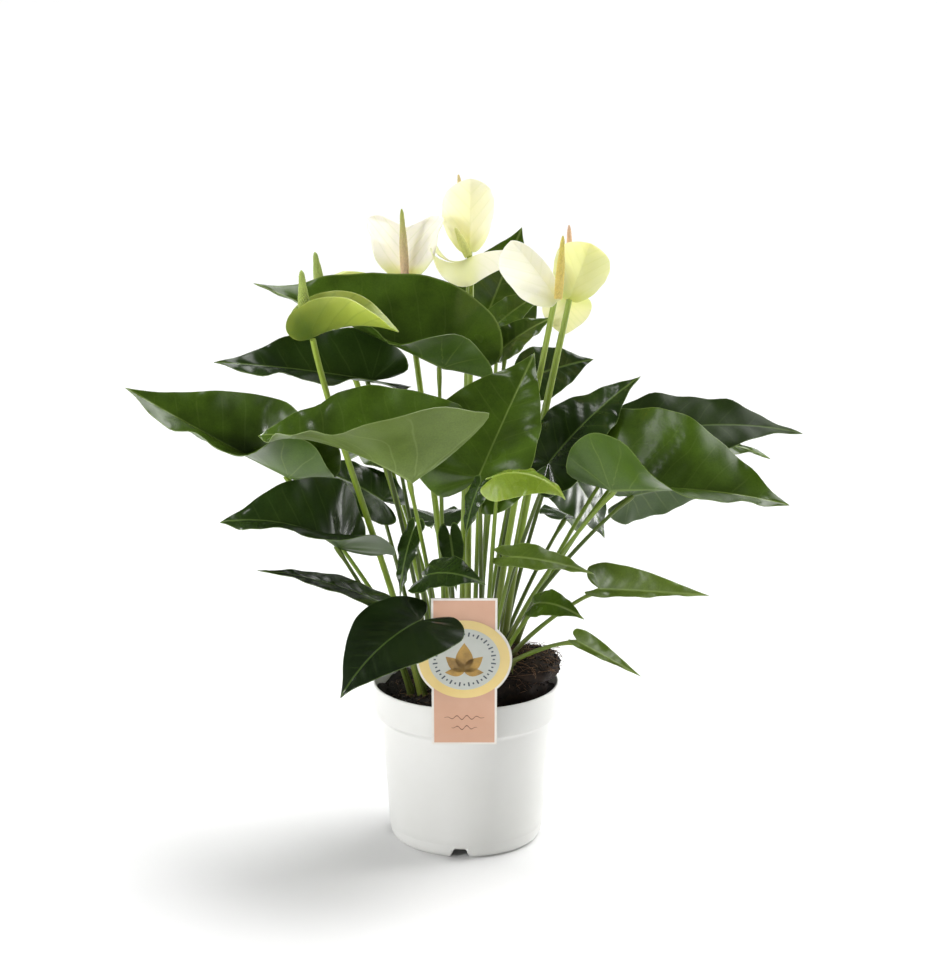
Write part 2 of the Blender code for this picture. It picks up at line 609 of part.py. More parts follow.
def inner_radius(height):
    """Radius of the pot's inside, less the clearance, at a height."""
    profile = pot_profile()[11:16]
    heights = [place[1] for place in reversed(profile)]
    radii = [place[0] for place in reversed(profile)]
    return float(np.interp(height, heights, radii)) - CLEARANCE - 0.2


def peat_body(material):
    """The peat fills the pot to an uneven surface just under the rim."""
    floor = FLOOR_HEIGHT + 2.0 + CLEARANCE
    heights = (floor, FLOOR_HEIGHT + 5.0, COLLAR_BOTTOM - 3.5, COLLAR_BOTTOM + 1.0)
    rings = [[(0, 0, floor)] * POT_SIDES]
    turns = [2 * math.pi * step / POT_SIDES for step in range(POT_SIDES)]
    for height in heights:
        radius = inner_radius(height)
        rings.append([(radius * math.cos(turn), radius * math.sin(turn), height) for turn in turns])
    for share in (1.0, 0.82, 0.6, 0.36, 0.0):
        ring = []
        for turn in turns:
            radius = share * inner_radius(PEAT_LEVEL)
            x = radius * math.cos(turn)
            y = radius * math.sin(turn)
            ring.append((x, y, peat_level(x, y)))
        rings.append(ring)
    points = [point for ring in rings for point in ring]
    faces = []
    for ring in range(len(rings) - 1):
        for step in range(POT_SIDES):
            a = ring * POT_SIDES + step
            b = ring * POT_SIDES + (step + 1) % POT_SIDES
            faces.append((a, b, b + POT_SIDES, a + POT_SIDES))
    return add_object("soil", points, faces, material)


def root_lump(centre, radii):
    """A lumpy ball of roots and coir that stands above the rim."""
    mesh = bpy.data.meshes.new("lump")
    work = bmesh.new()
    bmesh.ops.create_icosphere(work, subdivisions=2, radius=1.0)
    for vertex in work.verts:
        x, y, z = vertex.co
        size = 1 - 0.035 * (1 + math.sin(9 * x + 4 * z) * math.cos(8 * y - 3 * z))
        place = [middle + radius * part * size for middle, radius, part in zip(centre, radii, (x, y, z))]
        vertex.co = Vector(place) * MM
    work.to_mesh(mesh)
    work.free()
    item = bpy.data.objects.new("lump", mesh)
    bpy.context.scene.collection.objects.link(item)
    return item


def hole_cutter(root):
    """A rod where a stem goes into the peat."""
    surface = soil_height(*root)
    path = [(root[0], root[1], surface - HOLE_DEPTH), (root[0], root[1], surface + 30.0)]
    return add_object("hole", *tube_mesh(path, [HOLE_RADIUS] * 2, 8), None, smooth=False)


def make_soil(material, roots):
    """The root ball, fused with its lumps and drilled for every stem."""
    soil = fuse(peat_body(material), [root_lump(centre, radii) for centre, radii in ROOT_LUMPS])
    return fuse(soil, [hole_cutter(root) for root in roots], "DIFFERENCE")


def label_outline():
    """Half turn points of a strip with a round medallion, from the foot up the right side."""
    half = LABEL_WIDTH / 2
    centre = LABEL_LENGTH - LABEL_DISC_DROP
    meet = math.asin(half / LABEL_DISC_RADIUS)
    right = [(half, 0.0)]
    for step in range(LABEL_ARC_STEPS + 1):
        angle = meet + (math.pi - 2 * meet) * step / LABEL_ARC_STEPS
        right.append((LABEL_DISC_RADIUS * math.sin(angle), centre - LABEL_DISC_RADIUS * math.cos(angle)))
    right.append((half, LABEL_LENGTH))
    return right


def make_label(material):
    """A flat card with a round medallion, its foot at the collar's lower edge, its top leaning out."""
    lean = math.radians(LABEL_LEAN)
    near = (COLLAR_BOTTOM - LABEL_FOOT_HEIGHT) * math.tan(lean) - (RIM_RADIUS - COLLAR_DRAFT + CLEARANCE)
    points = []
    for across, up in label_outline():
        for side in (-across, across):
            for depth in (0.0, LABEL_THICKNESS):
                points.append((LABEL_X + side, near - depth * math.cos(lean) - up * math.sin(lean),
                               LABEL_FOOT_HEIGHT - depth * math.sin(lean) + up * math.cos(lean)))
    rows = len(points) // 4
    faces = [(0, 2, 3, 1), (4 * rows - 4, 4 * rows - 3, 4 * rows - 1, 4 * rows - 2)]
    for row in range(rows - 1):
        low = 4 * row
        high = low + 4
        faces.append((low, high, high + 2, low + 2))
        faces.append((low + 1, low + 3, high + 3, high + 1))
        faces.append((low, low + 1, high + 1, high))
        faces.append((low + 2, high + 2, high + 3, low + 3))
    return add_object("label", points, faces, material, smooth=False)


def main():
    clear_scene()
    leaf_green = make_material("leaf", (0.035, 0.11, 0.02), 0.32)
    flower = {
        "stalk": make_material("flower_stalk", (0.16, 0.32, 0.04), 0.45),
        "spathe": make_material("spathe", (0.86, 0.84, 0.55), 0.4),
        "spadix": make_material("spadix", (0.66, 0.5, 0.14), 0.6),
    }
    make_pot(make_material("white_pot", (0.85, 0.85, 0.83), 0.4))
    roots = [pose["root"] for pose in list(LEAVES.values()) + list(FLOWERS.values())]
    make_soil(make_material("peat", (0.03, 0.018, 0.012), 0.95), roots)
    make_label(make_material("label_card", (0.72, 0.45, 0.33), 0.5))
    for name, pose in LEAVES.items():
        make_leaf(name, material=leaf_green, **pose)
    for name, pose in FLOWERS.items():
        make_flower(name, materials=flower, **pose)


main()
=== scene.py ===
"""Looks of a white anthurium in a 12 cm nursery pot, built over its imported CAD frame.

Lengths in tables and fields are millimetres and angles are degrees. The front of the plant is -Y.
"""
import logging
import math
from dataclasses import dataclass, field, replace
from enum import Enum

import bmesh
import bpy
import numpy as np
from bpy.types import ID, Material, Mesh, Node, NodeOutputs, NodeSocket, NodeTree, Object
from mathutils import Matrix, Vector


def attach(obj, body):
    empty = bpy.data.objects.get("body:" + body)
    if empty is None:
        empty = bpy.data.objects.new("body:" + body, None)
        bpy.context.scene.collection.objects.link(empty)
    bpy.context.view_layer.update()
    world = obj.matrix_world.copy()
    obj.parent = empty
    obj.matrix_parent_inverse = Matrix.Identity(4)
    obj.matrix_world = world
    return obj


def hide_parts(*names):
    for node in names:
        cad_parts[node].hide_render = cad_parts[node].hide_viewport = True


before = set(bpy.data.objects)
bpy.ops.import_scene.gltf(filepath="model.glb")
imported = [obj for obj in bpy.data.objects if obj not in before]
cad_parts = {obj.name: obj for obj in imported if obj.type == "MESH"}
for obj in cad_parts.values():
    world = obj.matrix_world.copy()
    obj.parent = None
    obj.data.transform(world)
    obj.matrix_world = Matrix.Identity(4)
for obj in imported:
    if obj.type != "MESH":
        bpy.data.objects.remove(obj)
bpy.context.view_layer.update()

MM = 0.001
LOG = logging.getLogger("anthurium")
Point = tuple[float, float, float]
Pair = tuple[float, float]


def linear(code: str) -> tuple[float, float, float, float]:
    """Turn an sRGB hex colour into linear light.

    Args:
        code: Colour such as "#3f6a1a".

    Returns:
        Red, green, blue and alpha.
    """
    shares = [int(code[start:start + 2], 16) / 255 for start in (1, 3, 5)]
    light = [share / 12.92 if share <= 0.04045 else ((share + 0.055) / 1.055)**2.4 for share in shares]
    return (*light, 1.0)


def add_node(tree: NodeTree, kind: str, links: dict | None = None, inputs: dict | None = None,
             **settings) -> Node:
    """Add one node to a tree.

    Args:
        tree: The tree that gets the node.
        kind: Blender's name of the node type.
        links: Output sockets, by the name or number of the input that each one feeds.
        inputs: Plain values, by the name or number of the input.
        settings: Properties of the node itself.

    Returns:
        The new node.
    """
    node = tree.nodes.new(kind)
    for name, value in settings.items():
        setattr(node, name, value)
    for key, value in (inputs or {}).items():
        node.inputs[key].default_value = value
    for key, socket in (links or {}).items():
        tree.links.new(socket, node.inputs[key])
    return node


class Graph:
    """Short ways to add nodes to a tree, which take sockets and plain values alike."""

    def __init__(self, tree: NodeTree) -> None:
        """Work on a tree."""
        self.tree = tree

    def add(self, kind: str, output: int | str, given: dict | None = None, **settings) -> NodeSocket:
        """Add one node.

        Args:
            kind: Blender's name of the node type.
            output: The name or number of the wanted output.
            given: Sockets and plain values, by the name or number of the input.
            settings: Properties of the node itself.

        Returns:
            That output.
        """
        given = given or {}
        links = {key: value for key, value in given.items() if isinstance(value, NodeSocket)}
        inputs = {key: value for key, value in given.items() if key not in links}
        return add_node(self.tree, kind, links, inputs, **settings).outputs[output]

    def feed(self, node: Node, **sockets) -> None:
        """Link sockets to a node's inputs, whose names have _ for each space."""
        for key, socket in sockets.items():
            self.tree.links.new(socket, node.inputs[key.replace("_", " ")])

    def math(self, operation: str, *terms) -> NodeSocket:
        """Work out one operation on sockets or numbers."""
        return self.add("ShaderNodeMath", 0, dict(enumerate(terms)), operation=operation)

    def ramp(self, value: NodeSocket, low: float, high: float, start: float = 0.0, end: float = 1.0,
             smooth: bool = False) -> NodeSocket:
        """Turn the range from low to high into the range from start to end."""
        return self.add("ShaderNodeMapRange", "Result",
                        {"Value": value, "From Min": low, "From Max": high, "To Min": start, "To Max": end},
                        interpolation_type="SMOOTHSTEP" if smooth else "LINEAR")

    def mix(self, share: NodeSocket | float, first: NodeSocket | str, second: NodeSocket | str) -> NodeSocket:
        """Mix two colours, each a socket or an sRGB hex code."""
        first, second = [linear(colour) if isinstance(colour, str) else colour for colour in (first, second)]
        return self.add("ShaderNodeMix", 2, {0: share, 6: first, 7: second}, data_type="RGBA")

    def shade(self, colour: NodeSocket, value: NodeSocket) -> NodeSocket:
        """Multiply a colour by a value."""
        return self.add("ShaderNodeMix", 2, {0: 1.0, 6: colour, 7: value}, data_type="RGBA",
                        blend_type="MULTIPLY")

    def noise(self, size_mm: float, detail: float, roughness: float = 0.5) -> NodeSocket:
        """Draw noise over the piece's own coordinates, with marks of about one size."""
        coords = self.add("ShaderNodeTexCoord", "Object")
        return self.add("ShaderNodeTexNoise", "Fac", {"Vector": coords, "Scale": 1000 / size_mm,
                                                      "Detail": detail, "Roughness": roughness})

    def marks(self, name: str) -> NodeOutputs:
        """Read the three numbers of an attribute, each as a socket."""
        vector = self.add("ShaderNodeAttribute", "Vector", attribute_name=name)
        return add_node(self.tree, "ShaderNodeSeparateXYZ", {0: vector}).outputs

    def bump(self, height: NodeSocket, strength: float, distance_mm: float) -> NodeSocket:
        """Turn a height into a bent normal."""
        return self.add("ShaderNodeBump", "Normal",
                        {"Height": height, "Strength": strength, "Distance": distance_mm * MM})


def new_material(name: str, **sockets) -> tuple[Material, Graph, Node]:
    """Make a Principled material.

    Args:
        name: The material's name.
        sockets: Values for the shader's sockets, with _ for each space in a name.

    Returns:
        The material, its node graph and its shader node.
    """
    material = bpy.data.materials.new(name)
    material.use_nodes = True
    shader = material.node_tree.nodes["Principled BSDF"]
    for key, value in sockets.items():
        shader.inputs[key.replace("_", " ")].default_value = value
    return material, Graph(material.node_tree), shader


def add_object(name: str, data: ID) -> Object:
    """Put new data into the scene as an object."""
    item = bpy.data.objects.new(name, data)
    bpy.context.scene.collection.objects.link(item)
    return item


def write_vectors(mesh: Mesh, **rows: np.ndarray) -> None:
    """Give each point of a mesh three numbers under each name."""
    for name, values in rows.items():
        attribute = mesh.attributes.new(name, "FLOAT_VECTOR", "POINT")
        attribute.data.foreach_set("vector", values.astype(np.float32).ravel())


def prism_faces(count: int) -> list[tuple[int, ...]]:
    """List the faces of a prism over a loop of points, which come first for one end, then for the other."""
    faces = [tuple(reversed(range(count))), tuple(range(count, 2 * count))]
    for step in range(count):
        following = (step + 1) % count
        faces.append((step, following, following + count, step + count))
    return faces


def volume(points: np.ndarray, faces: list) -> float:
    """Sum a closed shell's signed volume, which is positive if its faces look outwards."""
    fans = [(face[0], second, third) for face in faces for second, third in zip(face[1:], face[2:])]
    corners = points[np.array(fans)]
    return float(np.einsum("ij,ij->", corners[:, 0], np.cross(corners[:, 1], corners[:, 2])))


@dataclass
class Piece:
    """Shells in millimetres that become one mesh object."""

    points: list = field(default_factory=list)
    faces: list = field(default_factory=list)
    slots: list = field(default_factory=list)
    blade: list = field(default_factory=list)
    vein: list = field(default_factory=list)

    def add(self, points: np.ndarray, faces: list, slot: int | list = 0, blade: np.ndarray | None = None,
            vein: np.ndarray | None = None) -> None:
        """Add one shell.

        Args:
            points: Its points.
            faces: Its faces, as tuples of point numbers.
            slot: Its material slot, or one for each face.
            blade: Three numbers a point for the attribute "blade".
            vein: Three numbers a point for the attribute "vein".
        """
        if volume(points, faces) < 0:
            faces = [face[::-1] for face in faces]
        first = sum(len(part) for part in self.points)
        self.points.append(points)
        self.faces.extend(tuple(corner + first for corner in face) for face in faces)
        self.slots.extend([slot] * len(faces) if isinstance(slot, int) else slot)
        blank = np.zeros((len(points), 3))
        self.blade.append(blank if blade is None else blade)
        self.vein.append(blank if vein is None else vein)

    def build(self, name: str, materials: list[Material], sharp: float = 50.0) -> Object:
        """Make the object, smooth but for its sharp edges.

        Args:
            name: The object's name.
            materials: Its material slots.
            sharp: Edges that turn by more than this stay sharp.

        Returns:
            The object, with its place in its mesh.
        """
        mesh = bpy.data.meshes.new(name)
        mesh.from_pydata(np.concatenate(self.points) * MM, [], self.faces)
        mesh.polygons.foreach_set("material_index", self.slots)
        write_vectors(mesh, blade=np.concatenate(self.blade), vein=np.concatenate(self.vein))
        for material in materials:
            mesh.materials.append(material)
        mesh.shade_smooth()
        mesh.set_sharp_from_angle(angle=math.radians(sharp))
        mesh.validate()
        return add_object(name, mesh)


def settle(item: Object, node: str) -> None:
    """Hand a finished piece to the frame.

    Args:
        item: The piece.
        node: The CAD node that it stands for.
    """
    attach(item, "root")
    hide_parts(node)
    LOG.info("%s stands for %s with %d faces", item.name, node, len(item.data.polygons))


def tube(path: np.ndarray, radii: np.ndarray, sides: int) -> tuple[np.ndarray, list, np.ndarray]:
    """Make a capped tube whose rings are carried along its path without twist.

    Args:
        path: Points of its middle line.
        radii: Its radius at each of them.
        sides: Points in each ring.

    Returns:
        Its points, its faces, and for each point its share of the length and its turn.
    """
    forward = np.gradient(path, axis=0)
    forward /= np.linalg.norm(forward, axis=1, keepdims=True)
    side = np.cross(forward[0], (0.0, 1.0, 0.0))
    turns = 2 * math.pi * np.arange(sides) / sides
    rings = []
    for place, direction, radius in zip(path, forward, radii):
        side = side - direction * (side @ direction)
        side /= np.linalg.norm(side)
        up = np.cross(direction, side)
        rings.append(place + radius * (np.outer(np.cos(turns), side) + np.outer(np.sin(turns), up)))
    faces = []
    for ring in range(len(path) - 1):
        for step in range(sides):
            low = ring * sides + step
            right = ring * sides + (step + 1) % sides
            faces.append((low, right, right + sides, low + sides))
    last = (len(path) - 1) * sides
    faces.append(tuple(range(sides - 1, -1, -1)))
    faces.append(tuple(last + step for step in range(sides)))
    share = np.repeat(np.linspace(0, 1, len(path)), sides)
    marks = np.stack([share, np.tile(np.cos(turns), len(path)), np.tile(np.sin(turns), len(path))], 1)
    return np.concatenate(rings), faces, marks


class Outline(Enum):
    """Half outlines as (along, across) in midrib lengths, from the tip to the notch."""

    LEAF = ((1.0, 0.0), (0.90, 0.04), (0.76, 0.12), (0.56, 0.235), (0.34, 0.325), (0.12, 0.365),
            (-0.08, 0.335), (-0.20, 0.235), (-0.23, 0.13), (-0.16, 0.065), (0.0, 0.0))
    EARED = ((1.0, 0.0), (0.90, 0.04), (0.76, 0.12), (0.56, 0.235), (0.34, 0.325), (0.14, 0.37),
             (0.02, 0.385), (-0.06, 0.40), (-0.075, 0.27), (-0.04, 0.12), (0.0, 0.0))
    WEDGE = ((1.0, 0.0), (0.86, 0.07), (0.66, 0.19), (0.42, 0.32), (0.2, 0.41), (0.02, 0.43),
             (-0.10, 0.37), (-0.13, 0.24), (-0.08, 0.10), (0.0, 0.0))
    SADDLE = ((1.0, 0.0), (0.92, 0.1), (0.72, 0.26), (0.42, 0.38), (0.1, 0.44), (-0.28, 0.46),
              (-0.62, 0.40), (-0.80, 0.26), (-0.60, 0.12), (0.0, 0.0))
    HEART = ((1.0, 0.0), (0.93, 0.075), (0.78, 0.2), (0.56, 0.33), (0.32, 0.40), (0.1, 0.40),
             (-0.06, 0.34), (-0.14, 0.24), (-0.15, 0.13), (-0.10, 0.04), (0.0, 0.0))
    CUP = ((1.0, 0.0), (0.98, 0.07), (0.86, 0.24), (0.66, 0.35), (0.42, 0.37), (0.2, 0.30),
           (0.05, 0.18), (-0.02, 0.08), (0.0, 0.0))
    TWIN = ((0.84, 0.0), (0.90, 0.08), (1.0, 0.22), (0.93, 0.34), (0.70, 0.39), (0.45, 0.38), (0.2, 0.30),
            (0.05, 0.18), (-0.02, 0.08), (0.0, 0.0))


# The outlines' half width, the reach of their back lobes and where a spathe is held, in midrib lengths
HALF_WIDTH = 0.365
LOBE_REACH = 0.235
SEAT_STATION = 0.03
# Half a bract's thickness and a hair's gap, which keep a stalk or a spadix off it, in millimetres
SEAT_GAP = 0.75
# The smallest flat face that a blade keeps, in midrib lengths squared
FLAT_SLIVER = 1e-8


@dataclass(frozen=True)
class BladePose:
    """Where a blade's stem grows, and how the flat blade is placed, turned and bent."""

    root: Pair
    joint: Point
    tip: Point
    wide: float = 1.0
    roll: float = 0.0
    droop: float = 40.0
    fold: tuple[Pair, Pair] = ((18, 18), (18, 18))
    curl: Pair = (-10, -10)
    lobe: Pair = (0, 0)
    sides: Pair = (1.0, 1.0)
    reach: float = 0.42
    sway: Point = (0, 0, 0)
    outline: Outline = Outline.LEAF


class Blade:
    """A flat heart bent along its midrib and across it, as in the CAD part."""

    def __init__(self, pose: BladePose) -> None:
        """Fit the midrib's arc between joint and tip, top face up, then turned by roll.

        Args:
            pose: Where the blade is and how it bends.
        """
        self.pose = pose
        self.fold = np.radians(pose.fold)
        self.droop = math.radians(pose.droop) + 1e-6
        self.joint = np.array(pose.joint, float)
        chord = np.array(pose.tip, float) - self.joint
        half = self.droop / 2
        self.length = np.linalg.norm(chord) * half / math.sin(half)
        along = chord / np.linalg.norm(chord)
        up = np.array([0.0, 0.0, 1.0]) - along * along[2]
        turn = np.array(Matrix.Rotation(math.radians(pose.roll), 3, Vector(along)))
        up = turn @ (up / np.linalg.norm(up))
        self.across = np.cross(up, along)
        self.along = along * math.cos(half) + up * math.sin(half)
        self.up = up * math.cos(half) - along * math.sin(half)

    def midrib(self, a: np.ndarray) -> tuple[np.ndarray, np.ndarray, np.ndarray]:
        """Read the midrib.

        Args:
            a: Places along it, in midrib lengths from the joint.

        Returns:
            Points, directions and normals there.
        """
        bend = self.droop * np.clip(a, 0, 1)[..., None]
        radius = self.length / self.droop
        point = self.joint + radius * (self.along * np.sin(bend) - self.up * (1 - np.cos(bend)))
        forward = self.along * np.cos(bend) - self.up * np.sin(bend)
        normal = self.up * np.cos(bend) + self.along * np.sin(bend)
        return point, forward, normal

    def place(self, flat: np.ndarray) -> np.ndarray:
        """Bend flat places.

        Args:
            flat: (along, across) in midrib lengths.

        Returns:
            Points of the bent blade in millimetres.
        """
        pose = self.pose
        a = flat[..., 0]
        b = flat[..., 1]
        left = b >= 0
        width = np.abs(b)
        t = np.clip(a / pose.reach, 0, 1)
        base = 1 - t * t * (3 - 2 * t)
        fade = np.clip(2 * (1 - a), 0.2, 1)**0.6
        fold_left = self.fold[0][1] + (self.fold[0][0] - self.fold[0][1]) * base
        fold_right = self.fold[1][1] + (self.fold[1][0] - self.fold[1][1]) * base
        fold = np.where(left, fold_left, fold_right) * fade
        curl = np.radians(pose.curl)
        bend = np.where(left, curl[0], curl[1]) / (HALF_WIDTH * pose.wide) + 1e-6
        across = (np.sin(fold + bend * width) - np.sin(fold)) / bend
        lift = (np.cos(fold) - np.cos(fold + bend * width)) / bend
        lobe = np.radians(pose.lobe)
        rise = np.where(left, lobe[0], lobe[1]) / LOBE_REACH + 1e-6
        back = np.clip(-a, 0, 1)
        along = -np.sin(rise * back) / rise
        lift = lift + (1 - np.cos(rise * back)) / rise
        point, forward, normal = self.midrib(a)
        side = np.where(left, across, -across)[..., None]
        bent = forward * along[..., None] + self.across * side + normal * lift[..., None]
        return point + self.length * bent

    def normals(self, flat: np.ndarray) -> np.ndarray:
        """Find unit normals of the bent blade.

        Args:
            flat: (along, across) in midrib lengths.

        Returns:
            One normal for each place, out of the upper face.
        """
        step = 0.01
        inner = flat.copy()
        inner[..., 0] = np.minimum(inner[..., 0], 1 - 2 * step)
        shift_a = np.array([step, 0.0])
        shift_b = np.array([0.0, step])
        slope_a = self.place(inner + shift_a) - self.place(inner - shift_a)
        slope_b = self.place(inner + shift_b) - self.place(inner - shift_b)
        normal = np.cross(slope_a, slope_b)
        return normal / np.linalg.norm(normal, axis=-1, keepdims=True)

    def seat(self, side: float, direction: np.ndarray, radius: float) -> np.ndarray:
        """Find where a round end just clears one side of the folded blade.

        Args:
            side: 1 for the upper side, -1 for the lower.
            direction: Where the round piece points.
            radius: Its radius.

        Returns:
            The middle of its end.
        """
        joint, _, normal = self.midrib(np.array(SEAT_STATION))
        direction = direction / np.linalg.norm(direction)
        height = 0.0
        for fold, across in ((self.fold[0][0], -self.across), (self.fold[1][0], self.across)):
            folded_over = side * fold > 0
            wall = normal * math.cos(fold) + across * math.sin(fold) if folded_over else normal
            reach = radius * math.sqrt(max(0.0, 1 - (wall @ direction)**2))
            clear = SEAT_GAP + reach
            height = max(height, clear / math.cos(fold) if folded_over else clear)
        return joint + side * height * normal

    def flat_grid(self, rows: int, columns: int) -> np.ndarray:
        """Lay a grid over the flat blade, finer near the midrib.

        Args:
            rows: Rows from the tip to the notch.
            columns: Columns on each side of the midrib.

        Returns:
            (along, across) for each row and column.
        """
        outline = np.array(self.pose.outline.value)
        steps = np.hypot(*np.diff(outline, axis=0).T)
        knots = np.concatenate([[0.0], np.cumsum(steps)])
        places = np.linspace(0, knots[-1], rows)
        edge_a = smooth_through(knots, outline[:, 0], places)
        edge_b = smooth_through(knots, outline[:, 1], places) * self.pose.wide
        # past the ray that lies nearest the notch, the margin runs straight to the joint
        last = int(np.argmax(np.arctan2(edge_b[:-1], edge_a[:-1])))
        edge_a[last + 1:] = 0
        edge_b[last + 1:] = 0
        mid_a = np.minimum.accumulate(np.clip(edge_a + 0.1 * (1 - edge_a), 0, 1))
        mid_a[last + 1:] = 0
        number = np.arange(-columns, columns + 1)
        share = (np.abs(number) / columns)**1.5
        scale = np.where(number < 0, -self.pose.sides[1], self.pose.sides[0])
        along = mid_a[:, None] * (1 - share) + edge_a[:, None] * share
        across = edge_b[:, None] * share * scale
        return np.stack([along, across], -1)


def smooth_through(knots: np.ndarray, values: np.ndarray, places: np.ndarray) -> np.ndarray:
    """Read a cubic curve through values at knots.

    Args:
        knots: Where the values are, rising.
        values: What the curve passes through.
        places: Where it is read.

    Returns:
        The curve at those places.
    """
    slopes = np.gradient(values, knots)
    index = np.clip(np.searchsorted(knots, places, side="right") - 1, 0, len(knots) - 2)
    step = knots[index + 1] - knots[index]
    t = (places - knots[index]) / step
    start = (2 * t**3 - 3 * t**2 + 1) * values[index] + (t**3 - 2 * t**2 + t) * step * slopes[index]
    end = (3 * t**2 - 2 * t**3) * values[index + 1] + (t**3 - t**2) * step * slopes[index + 1]
    return start + end


@dataclass(frozen=True)
class Relief:
    """What the surface of a blade does between its veins and along its margin."""

    laterals: float = 7.0
    slant: float = 0.62
    fan: float = 33.0
    quilt: float = 0.42
    wave: float = 2.3
    waves: float = 3.4
    thickness: float = 0.8
    margin_thickness: float = 0.36
    rib: float = 0.9
    rib_width: float = 1.3

    def veins(self, flat: np.ndarray, length: float) -> np.ndarray:
        """Number the side veins, so that a whole number lies on a vein.

        Args:
            flat: (along, across) in midrib lengths.
            length: The midrib's length.

        Returns:
            For each place the vein number, the millimetres between veins, and the side.
        """
        a = flat[..., 0]
        b = np.abs(flat[..., 1])
        start = math.atan2(1.0, self.slant)
        ahead = a - self.slant * b
        turn = (start - np.arctan2(b + 1e-9, a)) / math.radians(self.fan)
        number = np.where(ahead > 0, self.laterals * ahead, turn)
        spacing_ahead = length / (self.laterals * math.hypot(1, self.slant))
        spacing_fan = length * np.hypot(a, b) * math.radians(self.fan)
        spacing = np.where(ahead > 0, spacing_ahead, spacing_fan)
        return np.stack([number, spacing, np.sign(flat[..., 1])], -1)


@dataclass
class BladeShell:
    """The closed skin of a blade: upper face, lower face and margin."""

    blade: Blade
    relief: Relief
    seed: int
    rows: int = 46
    columns: int = 15

    def build(self, piece: Piece, upper: int, lower: int) -> None:
        """Add the skin to a piece.

        Args:
            piece: The piece that gets it.
            upper: Material slot of the upper face.
            lower: Material slot of the lower face and the margin.
        """
        grid = self.blade.flat_grid(self.rows, self.columns)
        flat, share, run, index = self.merge(grid)
        length = self.blade.length
        vein = self.relief.veins(flat, length)
        middle = self.blade.place(flat)
        normal = self.blade.normals(flat)
        across = np.abs(flat[:, 1]) * length
        rise = self.rise(vein, share, run, length)
        relief = self.relief
        rib = relief.rib * np.exp(-(across / relief.rib_width)**2) * np.clip(1.1 - flat[:, 0], 0.1, 1)
        thin = relief.margin_thickness
        half = (thin + (relief.thickness - thin) * (1 - share**3)) / 2
        top = middle + normal * (rise + half)[:, None]
        under = middle + normal * (rise - half - rib)[:, None]
        widths = np.interp(run, np.linspace(0, 1, self.rows), np.abs(grid[:, -1, 1]) + 1e-3)
        marks = np.stack([flat[:, 0], across, (1 - share) * widths * length * 0.8], 1)
        faces = self.quads(index, flat)
        count = len(flat)
        walls = []
        for first, second in self.border(faces):
            walls.append((second, first, count + first, count + second))
        below = [tuple(count + corner for corner in reversed(face)) for face in faces]
        slots = [upper] * len(faces) + [lower] * (len(below) + len(walls))
        piece.add(np.concatenate([top, under]), faces + below + walls, slots,
                  np.concatenate([marks, marks]), np.concatenate([vein, vein]))

    def rise(self, vein: np.ndarray, share: np.ndarray, run: np.ndarray, length: float) -> np.ndarray:
        """Work out how far the surface stands off the smooth blade.

        Args:
            vein: Vein numbers, as Relief.veins gives them.
            share: Share of the way from the midrib to the margin.
            run: Share of the way along the margin, from the tip to the notch.
            length: The midrib's length.

        Returns:
            Millimetres along the normal.
        """
        size = length / 110
        draw = np.random.default_rng(self.seed).uniform(0, 2 * math.pi, 4)
        inner = np.clip(share * 4, 0, 1) * np.clip((1 - share) * 5, 0, 1)
        inner = inner * np.clip(vein[:, 1] / 8, 0, 1)
        quilt = -self.relief.quilt * size * np.cos(2 * math.pi * vein[:, 0]) * inner
        side = np.where(vein[:, 2] < 0, draw[0], draw[1])
        ends = np.clip(run * 6, 0, 1) * np.clip((1 - run) * 4, 0, 1)
        slow = np.sin(2 * math.pi * self.relief.waves * run + side)
        quick = 0.4 * np.sin(2 * math.pi * 2.3 * self.relief.waves * run + side + draw[2])
        return quilt + self.relief.wave * size * share**2.5 * ends * (slow + quick)

    def merge(self, grid: np.ndarray) -> tuple[np.ndarray, np.ndarray, np.ndarray, np.ndarray]:
        """Give places that coincide one number.

        Args:
            grid: (along, across) for each row and column.

        Returns:
            The places, their share of the half width, their share of the margin, and the grid of numbers.
        """
        places = grid.reshape(-1, 2)
        _, first, inverse = np.unique(np.round(places, 5) + 0.0, axis=0, return_index=True,
                                      return_inverse=True)
        order = np.argsort(first)
        first = first[order]
        row, column = np.divmod(first, grid.shape[1])
        share = (np.abs(column - self.columns) / self.columns)**1.5
        index = np.argsort(order)[inverse.ravel()].reshape(grid.shape[:2])
        return places[first], share, row / (self.rows - 1), index

    def quads(self, index: np.ndarray, flat: np.ndarray) -> list[tuple[int, ...]]:
        """Make the upper face's quads, and triangles where the grid closes up.

        Args:
            index: The grid of point numbers.
            flat: The places themselves.

        Returns:
            The faces.
        """
        faces = []
        for row in range(index.shape[0] - 1):
            for column in range(index.shape[1] - 1):
                corners = (index[row, column], index[row, column + 1],
                           index[row + 1, column + 1], index[row + 1, column])
                loop = tuple(dict.fromkeys(int(corner) for corner in corners))
                a, b = flat[list(loop)].T
                area = abs(a @ np.roll(b, -1) - b @ np.roll(a, -1)) / 2
                if len(loop) > 2 and area > FLAT_SLIVER:
                    faces.append(loop)
        return faces

    @staticmethod
    def border(faces: list[tuple[int, ...]]) -> list[tuple[int, int]]:
        """Find the edges that only one face has.

        Args:
            faces: The faces of an open sheet.

        Returns:
            Its border edges, in their faces' direction.
        """
        edges = {(first, second) for face in faces for first, second in zip(face, face[1:] + face[:1])}
        return [edge for edge in edges if (edge[1], edge[0]) not in edges]


ROOT_LUMPS = (((22.0, -4.0, 104.0), (32.0, 30.0, 25.0)), ((40.0, -8.0, 117.0), (21.0, 24.0, 11.0)))


